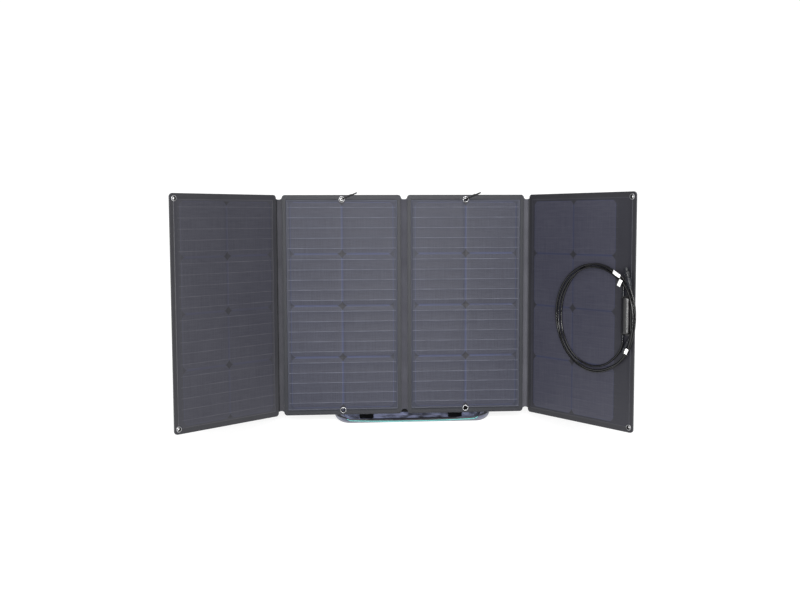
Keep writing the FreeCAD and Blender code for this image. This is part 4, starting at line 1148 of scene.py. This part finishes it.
def edge_band(plane, near, far, columns, ripple, seed, lift=0.0, drawn=False):
    """Points of a soft strip along the leaf's open edge: out sideways, over the floor below."""
    reach = np.linspace(near, far, columns)
    grid = []
    run = 0.0
    last = None
    for along in STATIONS:
        edge, turned = leaf_edge(along)
        pull = corner_draw(along) if drawn else 0.0
        quarter = turned * math.pi / 2
        sideways = (-1 if along < 2.5 else 1) * plane.across
        over_floor = -math.sin(LEAN) * plane.up + math.cos(LEAN) * plane.out
        out = sideways * math.cos(quarter) + over_floor * math.sin(quarter)
        square = plane.out * math.cos(quarter) + plane.up * math.sin(quarter)
        spot = plane.points(edge[0] - LEAF_SIZE[0] / 2, edge[1] - 0.0003, LEAF_THICK / 2)
        run += 0.0 if last is None else float(np.linalg.norm(spot - last))
        last = spot
        fade = np.sin(math.pi * (reach - near) / (far - near + 1e-9)) ** 0.7
        folds = creases(np.full(columns, run), reach * 1.4, 0.020, seed) * ripple * fade
        grid.append(spot + (reach - pull)[:, None] * out + (folds + lift)[:, None] * square)
    return np.array(grid)


def make_gusset(side, plane):
    """The soft gusset with its zip: tape, bright teeth and the frayed edge beyond them."""
    seed = 21 if side == "front" else 31
    body = "kit" if side == "front" else "rear_leaf"
    end = GUSSET_WIDTH + ZIP_WIDTH
    soft = cloth(
        f"case_{side}_side_fabric", edge_band(plane, 0.0005, GUSSET_WIDTH, 9, 0.0022, seed),
        0.0010, "side_fabric", "case_fabric",
    )
    finish_piece(soft, body, f"case_{side}_gusset")
    fringe = cloth(
        f"case_{side}_zip_edge", edge_band(plane, GUSSET_WIDTH - 0.0005, end, 5, 0.0006, seed),
        0.0009, "zip_fringe", "zip_tape",
    )
    finish_piece(fringe, body, f"case_{side}_zip")
    tape = cloth(
        f"case_{side}_zip_tape",
        edge_band(plane, end - 0.0130, end - 0.0028, 6, 0.0006, seed + 1, 0.0011, True),
        0.0009, "gusset", "zip_tape",
    )
    finish_piece(tape, body)
    band = edge_band(plane, end - 0.0034, end - 0.0002, 5, 0.0005, seed + 1, 0.0014, True)
    teeth = [
        cloth(f"case_{side}_teeth_{first}", band[(STATIONS >= first) & (STATIONS <= last)],
              0.0013, "zip_teeth", "zip_tape")
        for first, last in ((0, 1), (1.75, 3.25), (4, 5))
    ]
    finish_piece(joined(f"case_{side}_zip_teeth", teeth), body)


def make_spine():
    """The strip over the top of the case, sewn a little way down each leaf."""
    low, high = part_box("case_spine")
    depth = high.y - low.y
    side = np.linspace(-SPINE_FRONT_LAP, depth + SPINE_LAP, 19)
    drop = np.where(side < 0, side, np.where(side > depth, depth - side, 0.0)) * math.cos(LEAN)
    tuck = np.where(side < 0, -side, np.where(side > depth, side - depth, 0.0)) * math.sin(LEAN)
    sag = -0.0012 * np.sin(math.pi * np.clip(side / depth, 0, 1)) ** 2
    xs = np.linspace(low.x, high.x, 70)
    wave = creases(xs[:, None] + 0 * side, side[None, :] + 0 * xs[:, None], 0.03, 8) * 0.0007
    y = low.y + np.clip(side, 0, depth) + np.where(side < 0, -0.0008 - tuck, 0)
    y = y + np.where(side > depth, 0.0008 + tuck, 0)
    grid = np.stack(np.broadcast_arrays(
        xs[:, None], y[None, :], (high.z - 0.0008 + drop + sag)[None, :] - wave
    ), -1)
    strip = cloth("case_spine_strip", grid, 0.0014, "case_fabric", "case_fabric")
    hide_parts("case_spine")
    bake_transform(strip)


HANDLE_LEGS = (-0.075, 0.075)
SEWN_Y = 0.141
SEWN_HALF = np.array([[0.012], [0.013]])
CROSSED_BOX = [(-1, -1), (1, -1), (1, 1), (-1, 1), (-1, -1), (1, 1), (1, -1), (-1, 1)]
GRIP_Y = 0.093
GRIP_HALF = 0.0735
GRIP_LEVEL = LEAF_THICK + 0.0032


def make_handle():
    """Webbing legs sewn to the rear leaf with crossed boxes, and a padded grip between them."""
    plane = REAR_LEAF
    level = LEAF_THICK + 0.0012
    straps, rows = [], []
    for middle in HANDLE_LEGS:
        x = middle + np.linspace(-0.015, 0.015, 7)
        y = np.linspace(0.078, 0.158, 26)
        crown = 0.0004 * np.cos(np.linspace(-1.4, 1.4, 7))
        grid = plane.points(x[None, :], y[:, None], level + crown[None, :])
        straps.append(cloth(f"handle_leg_{middle:+.3f}", grid, 0.0014, "strap", "webbing"))
        sides, rises = np.array(CROSSED_BOX).T * SEWN_HALF
        line = plane.points(middle + sides, SEWN_Y + rises, level + 0.0012)
        rows.append((line, np.broadcast_to(plane.out, line.shape)))
    legs = joined("handle_webbing", straps)
    finish_piece(legs, "rear_leaf", "carry_handle")
    finish_piece(stitched("handle_stitches", rows, "webbing"), "rear_leaf")
    turns = np.linspace(0, 2 * math.pi, 28, endpoint=False)
    along = np.linspace(-1, 1, 34)
    ends = np.clip((1 - np.abs(along)) / 0.12, 0, 1) ** 0.5
    width = 0.0142 * (0.80 + 0.20 * ends) * (1 - 0.05 * np.cos(along * 2.4))
    thick = 0.0030 * (0.35 + 0.65 * ends)
    pinch = 1 + 0.05 * np.sin(along * 26) * ends
    square = np.sign(np.cos(turns)) * np.abs(np.cos(turns)) ** 0.6
    round_side = np.sign(np.sin(turns)) * np.abs(np.sin(turns)) ** 0.8
    x = GRIP_HALF * along[None, :] + 0 * turns[:, None]
    across = square[:, None] * width[None, :]
    rise = round_side[:, None] * (thick * pinch)[None, :]
    skin = plane.points(x, GRIP_Y + across, GRIP_LEVEL + rise)
    core = plane.points(x, GRIP_Y + 0.6 * across, GRIP_LEVEL + 0.5 * rise)
    grip = closed_sheet("handle_grip", skin, core, metres_map(skin), "gusset", "webbing", ring=True)
    finish_piece(grip, "rear_leaf")


PATCH_X = (-0.145 + LEAF_MID, 0.134 + LEAF_MID)
PATCH_HALF = 0.022
PATCH_TOP = 0.040


def make_patches():
    """Hook-and-loop patches between the front leaf and the panels' foot."""
    made = []
    face = LEAF_THICK - LEAF_BACK
    for middle in PATCH_X:
        for low_y, bottom, top, fuzz in ((-0.0165, face + 0.0002, face + 0.0028, 0.0005),
                                         (0.002, face + 0.0028, COVER_BACK - 0.0002, 0.0002)):
            low, high = (middle - PATCH_HALF, low_y), (middle + PATCH_HALF, PATCH_TOP)
            xs, ys = (grid_lines(low[k], high[k], 0.0022, (0.0004, 0.001)) for k in (0, 1))

            def upper(x, y, rim, top=top, fuzz=fuzz):
                return top - 0.0006 * (1 - smooth(rim, 0, 0.0015)) - fuzz * creases(x, y, 0.003, 5)

            made.append(slab(
                f"patch_{middle:.3f}_{low_y:.3f}", FACE, low, high, (0.003,) * 4, xs, ys, upper,
                flat(bottom), "hook_and_loop", "hook_and_loop",
            ))
    finish_piece(joined("hook_and_loop_pads", made), "kit", "hook_and_loop_patches")


def make_case():
    for side, plane, body in (("front", FRONT_LEAF, "kit"), ("rear", REAR_LEAF, "rear_leaf")):
        shell, lining = leaf_faces(side, plane)
        finish_piece(shell, body, f"case_{side}_shell")
        finish_piece(lining, body, f"case_{side}_lining")
        tape, thread = leaf_binding(side, plane)
        finish_piece(tape, body, f"case_{side}_binding")
        finish_piece(thread, body)
        make_gusset(side, plane)
    make_spine()
    make_handle()
    make_patches()


# ---------------------------------------------------------------- junction box

BOX_LOW, BOX_HIGH = (0.376, 0.276), (0.411, 0.389)
BOX_TOP = 0.0028
LID_MIDDLE = 0.396
LID_RADIUS = 0.0135
LID_LOW, LID_HIGH = 0.281, 0.384
LID_ROUND = 0.004
GLAND_X, GLAND_LEVEL = 0.384, 0.0041


def make_box():
    """The half-round junction box: a flanged base, a domed lid with its clips and two glands."""
    lines = (0.0003, 0.0008, 0.0014, 0.0024, 0.004)
    xs = grid_lines(BOX_LOW[0], BOX_HIGH[0], 0.004, lines)
    ys = grid_lines(BOX_LOW[1], BOX_HIGH[1], 0.006, lines)

    def top(x, y, rim):
        return BOX_TOP - 0.0009 * (1 - smooth(rim, 0, 0.0014))

    base = slab("junction_flange", RIGHT_WING, BOX_LOW, BOX_HIGH, (0.004,) * 4, xs, ys, top,
                flat(-0.0002), "box_plastic", "box_plastic")
    finish_piece(base, "right_wing", "junction_base")
    turns = np.linspace(0, math.pi, 34)
    half = (LID_HIGH - LID_LOW) / 2
    end = half - LID_ROUND * (1 - np.cos(np.linspace(math.pi / 2, 0, 8)))
    straight = np.linspace(-half + LID_ROUND, half - LID_ROUND, 40)[1:-1]
    reach = np.concatenate([-end[::-1], straight, end])
    from_end = np.clip(1 - (half - np.abs(reach)) / LID_ROUND, 0, 1)
    radius = LID_RADIUS - LID_ROUND * (1 - np.sqrt(np.clip(1 - from_end ** 2, 0, 1)))
    radius -= 0.0004 * (np.abs(np.abs(reach) - half + 0.010) < 0.0009)
    middle_y = (LID_LOW + LID_HIGH) / 2

    def dome(wide, long):
        spread = wide * radius[:, None]
        return RIGHT_WING.points(
            LID_MIDDLE - spread * np.cos(turns)[None, :], middle_y + long * reach[:, None],
            BOX_TOP + spread * np.sin(turns)[None, :],
        )

    grid = dome(1.0, 1.0)
    lid = closed_sheet(
        "junction_cover", grid, dome(0.86, 0.975), metres_map(grid), "box_plastic", "box_plastic"
    )
    finish_piece(lid, "right_wing", "junction_lid")
    glands = []
    for foot, way in ((BOX_HIGH[1], 1), (BOX_LOW[1], -1)):
        profile = [(-0.001, 0.0), (-0.001, 0.0046), (0.0012, 0.0046), (0.0016, 0.0040)]
        for rib in range(5):
            start = 0.0020 + rib * 0.0023
            wide = 0.0042 - 0.00017 * rib
            profile += [(start, wide - 0.0005), (start + 0.0003, wide), (start + 0.0013, wide),
                        (start + 0.0016, wide - 0.0005)]
        profile += [(0.0137, 0.0032), (0.014, 0.0029), (0.014, 0.0)]
        glands.append(lathe(f"gland_{way}", RIGHT_WING.point(GLAND_X, foot, GLAND_LEVEL),
                            RIGHT_WING.up * way, profile, "connector", "gland"))
    finish_piece(joined("ribbed_glands", glands), "right_wing", "cable_glands")


# ---------------------------------------------------------------- leads

LEAD = 0.0055
COIL_MIDDLE = (0.2785, 0.317)
COIL_RADII = (0.149, 0.162)
POSITIVE_LENGTH = 1.86
NEGATIVE_LENGTH = 0.88

POSITIVE_START = [
    (0.384, 0.403, 0.0041), (0.384, 0.4115, 0.0041), (0.3816, 0.4196, 0.0038),
    (0.3766, 0.4266, 0.0032), (0.370, 0.4323, 0.0028), (0.3627, 0.437, 0.0026),
]
POSITIVE_PASS = [
    (0.352, 0.184, 0.0086), (0.370, 0.193, 0.0086), (0.3865, 0.2075, 0.0086),
    (0.400, 0.226, 0.0088), (0.4105, 0.249, 0.0090), (0.418, 0.274, 0.0092),
    (0.4218, 0.302, 0.0090), (0.4222, 0.330, 0.0088), (0.4198, 0.356, 0.0089),
    (0.4135, 0.381, 0.0093), (0.4035, 0.403, 0.0098), (0.3895, 0.422, 0.0097),
    (0.373, 0.4385, 0.0093), (0.355, 0.452, 0.0086),
]
POSITIVE_END = [
    (0.360, 0.187, 0.0026), (0.3755, 0.1985, 0.0026), (0.390, 0.2125, 0.0026),
    (0.4025, 0.230, 0.0026), (0.4125, 0.251, 0.0026), (0.420, 0.276, 0.0026),
    (0.425, 0.304, 0.0026), (0.4263, 0.333, 0.0026), (0.425, 0.359, 0.0032),
    (0.4205, 0.384, 0.0056), (0.4125, 0.410, 0.0089),
]
NEGATIVE_START = [
    (0.384, 0.262, 0.0041), (0.384, 0.253, 0.0041), (0.3806, 0.242, 0.0036),
    (0.3746, 0.2315, 0.0030), (0.3672, 0.2215, 0.0026), (0.3592, 0.2125, 0.0026),
    (0.3505, 0.2045, 0.0026),
]
NEGATIVE_END = [
    (0.352, 0.455, 0.0028), (0.365, 0.4485, 0.0027), (0.3775, 0.4395, 0.0026),
    (0.3885, 0.4295, 0.0026), (0.3985, 0.4175, 0.0026), (0.4075, 0.404, 0.0026),
    (0.4148, 0.388, 0.0026), (0.4176, 0.369, 0.0026), (0.418, 0.349, 0.0026),
    (0.4177, 0.328, 0.0026), (0.418, 0.307, 0.0032), (0.4165, 0.288, 0.0048),
    (0.409, 0.268, 0.0066),
]


def coil_pass(start, end, insets, levels, step=15):
    """Control points of one pass of the coil, from one angle to another in degrees.

    insets and levels give, at some angles, how far the pass lies inside the coil's outer edge and
    how high it lies on the panel.
    """
    count = round(abs(end - start) / step)
    points = []
    for number in range(count + 1):
        angle = start + (end - start) * number / count
        inset = np.interp(angle, *zip(*insets))
        level = np.interp(angle, *zip(*levels))
        turn = math.radians(angle)
        points.append((
            COIL_MIDDLE[0] + (COIL_RADII[0] - inset) * math.cos(turn),
            COIL_MIDDLE[1] + (COIL_RADII[1] - inset) * math.sin(turn),
            level,
        ))
    return points


def make_lead(name, route):
    """A round lead: one smooth curve with the route as its control points."""
    curve = bpy.data.curves.new(name, "CURVE")
    curve.dimensions = "3D"
    spline = curve.splines.new("NURBS")
    spline.points.add(len(route) - 1)
    for control, spot in zip(spline.points, route):
        control.co = (*RIGHT_WING.point(*spot), 1.0)
    spline.order_u = 3
    spline.use_endpoint_u = True
    spline.resolution_u = 6
    curve.bevel_depth = LEAD / 2
    curve.bevel_resolution = 5
    curve.use_fill_caps = True
    curve.materials.append(LOOKS["lead"])
    lead = placed(name, curve)
    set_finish(lead, "lead")
    return lead


def make_connector(name, end, mouth, level, stages, replaced):
    """A plug body from its cable end to its mouth, with a grip of rings and an open mouth."""
    foot = RIGHT_WING.point(*end, level)
    tip = RIGHT_WING.point(*mouth, level)
    length = (tip - foot).length
    profile = [(0.0, 0.0), (0.0, LEAD / 2)]
    done = 0.0
    for number, (wide, share) in enumerate(stages):
        run = length * share
        soft = min(0.0009, run / 4)
        profile += [(done, wide - soft), (done + soft, wide)]
        if number in (0, 1):
            rings = 3 if number == 0 else 5
            for ring in range(rings):
                start = done + run * (ring + 0.6) / (rings + 0.6)
                profile += [(start, wide), (start + 0.0003, wide - 0.0006),
                            (start + 0.0012, wide - 0.0006), (start + 0.0015, wide)]
        profile += [(done + run - soft, wide), (done + run, wide - soft)]
        done += run
    bore = stages[-1][0] - 0.0016
    profile += [(length, bore), (length - 0.006, bore), (length - 0.006, 0.0)]
    piece = lathe(name, foot, tip - foot, profile, "connector", "connector")
    return finish_piece(piece, "right_wing", replaced)


def make_tag(name, x, y, turn, length, curl, width):
    """A blank paper tag, curled along its length."""
    turn = math.radians(turn)
    along = np.linspace(-length / 2, length / 2, 14)
    across = np.linspace(-width / 2, width / 2, 7)
    a, c = np.meshgrid(along, across)
    rise = curl * (1 - (2 * a / length) ** 2) + 0.0008 * np.sin(c * 300) - curl * 0.4
    grid = RIGHT_WING.points(
        x + a * math.cos(turn) - c * math.sin(turn),
        y + a * math.sin(turn) + c * math.cos(turn), 0.0129 + rise,
    )
    return cloth(name, grid, 0.0003, "paper", "tag")


def make_leads():
    positive = make_lead("lead_positive", (
        POSITIVE_START
        + coil_pass(66, 288, [(50, 0.0114), (150, 0.0125), (230, 0.0125), (300, 0.007)],
                    [(50, 0.0026), (90, 0.0086)])
        + POSITIVE_PASS
        + coil_pass(72, 290, [(60, 0.004), (120, 0.0036), (185, 0.0004), (240, 0.003),
                              (300, 0.0034)], [(150, 0.0086), (200, 0.0026)])
        + POSITIVE_END
    ))
    negative = make_lead("lead_negative", (
        NEGATIVE_START
        + coil_pass(292, 72, [(60, 0.0025), (90, 0.0025), (140, 0.0165), (180, 0.019),
                              (230, 0.0165), (300, 0.022)], [(0, 0.0026), (360, 0.0026)])
        + NEGATIVE_END
    ))
    finish_piece(positive, "right_wing", "lead_positive_start", "lead_positive_pass",
                 "lead_positive_end", "cable_coil")
    finish_piece(negative, "right_wing", "lead_negative_start", "lead_negative_end")
    plug = make_connector(
        "plug_positive", (0.4125, 0.410), (0.396, 0.468), 0.0089,
        [(0.0060, 0.16), (0.0082, 0.34), (0.0070, 0.08), (0.0085, 0.24), (0.0056, 0.18)],
        "connector_positive",
    )
    socket = make_connector(
        "plug_negative", (0.409, 0.268), (0.3855, 0.2235), 0.0066,
        [(0.0046, 0.18), (0.0062, 0.36), (0.0052, 0.08), (0.0062, 0.22), (0.0042, 0.16)],
        "connector_negative",
    )
    upper = joined("tags_upper", [
        make_tag("tag_a", 0.366, 0.449, -28, 0.028, 0.0016, 0.011),
        make_tag("tag_b", 0.378, 0.424, 62, 0.020, 0.0012, 0.010),
    ])
    lower = make_tag("tag_lower", 0.404, 0.232, 66, 0.016, 0.001, 0.009)
    for lead, start, length, end, tags in (
        (positive, POSITIVE_START, POSITIVE_LENGTH, plug, upper),
        (negative, NEGATIVE_START, NEGATIVE_LENGTH, socket, lower),
    ):
        finish_piece(tags, "right_wing", "cable_tags")
        RIGHT_WING.point(*start[0])


# ---------------------------------------------------------------- carried-over CAD nodes

CARRIED = {
    "silicon": ["left_cells", "middle_cells", "right_cells"],
    "tin": ["left_ribbons", "middle_ribbons", "right_ribbons"],
    "board": ["left_backing_board", "second_backing_board", "third_backing_board",
              "right_backing_board"],
    "foam": ["case_front_stiffener", "case_rear_stiffener"],
    "dark_steel": ["snap_hook_left", "snap_hook_right", "snap_gate_left", "snap_gate_right",
                   "gate_pins"],
    "webbing": ["hook_webbing"],
    "circuit": ["diode_board"],
}


def dress_carried_nodes():
    for look, names in CARRIED.items():
        for name in names:
            mesh = nodes[name].data
            mesh.materials.clear()
            mesh.materials.append(LOOKS[look])
            mesh.polygons.foreach_set("use_smooth", [True] * len(mesh.polygons))
            mesh.set_sharp_from_angle(angle=math.radians(40))


# ---------------------------------------------------------------- studio

CAMERA_AT = (-0.22605, -2.77907, 1.37686)
CAMERA_AZIMUTH = -4.866
CAMERA_TILT = 19.651
CAMERA_ROLL = 1.054
CAMERA_LENS = 43.585
FLOOR = 60.0


def make_camera():
    data = bpy.data.cameras.new("camera")
    data.lens = CAMERA_LENS
    data.sensor_width = 36.0
    data.clip_end = 200.0
    camera = placed("camera", data)
    azimuth, tilt = math.radians(CAMERA_AZIMUTH), math.radians(CAMERA_TILT)
    back = Vector((
        math.sin(azimuth) * math.cos(tilt), -math.cos(azimuth) * math.cos(tilt), math.sin(tilt)
    ))
    level = (-back).to_track_quat("-Z", "Y")
    camera.rotation_mode = "QUATERNION"
    camera.rotation_quaternion = level @ Quaternion((0, 0, 1), math.radians(CAMERA_ROLL))
    camera.location = CAMERA_AT
    bpy.context.scene.camera = camera


def area_light(name, place, aim, size, power):
    data = bpy.data.lights.new(name, "AREA")
    data.shape = "RECTANGLE"
    data.size, data.size_y = size
    data.energy = power
    light = placed(name, data)
    light.location = place
    light.rotation_mode = "QUATERNION"
    light.rotation_quaternion = (Vector(aim) - Vector(place)).to_track_quat("-Z", "Y")


def make_floor():
    """A wide pale floor, lit a little from within so that it meets the white surround."""
    look = Look("floor", 0.9, Emission_Color=(1, 1, 1, 1), Emission_Strength=0.72)
    look.colour(look.noise(0.6).mix((150, 150, 150), (154, 154, 154)))
    mesh = bpy.data.meshes.new("floor")
    corners = [(-1, -1), (1, -1), (1, 1), (-1, 1)]
    mesh.from_pydata([(FLOOR * x, FLOOR * y, 0) for x, y in corners], [], [(0, 1, 2, 3)])
    mesh.materials.append(look.material)
    placed("floor", mesh)


def make_studio():
    """A pale floor, an even pale surround and large soft lights."""
    scene = bpy.context.scene
    scene.view_settings.view_transform = "Standard"
    world = bpy.data.worlds.new("surround")
    world.use_nodes = True
    surround = world.node_tree.nodes["Background"]
    surround.inputs["Color"].default_value = (1.0, 1.0, 1.0, 1.0)
    surround.inputs["Strength"].default_value = 0.5
    scene.world = world
    sun = bpy.data.lights.new("overhead", "SUN")
    sun.energy = 2.1
    sun.angle = math.radians(60)
    overhead = placed("overhead", sun)
    overhead.rotation_euler = (math.radians(16), math.radians(-6), 0)
    area_light("front", (-0.3, -4.4, 2.4), (0, 0, 0.5), (4.2, 0.9), 130)
    area_light("strip", (0.42, -4.4, 1.3), (0.2, 0, 0.4), (0.22, 1.6), 60)
    area_light("right", (3.4, -2.2, 1.6), (0.5, 0, 0.4), (0.9, 2.4), 20)
    make_floor()


make_camera()
make_leads()
make_box()
make_panels()
make_seams()
make_case()
dress_carried_nodes()
make_studio()
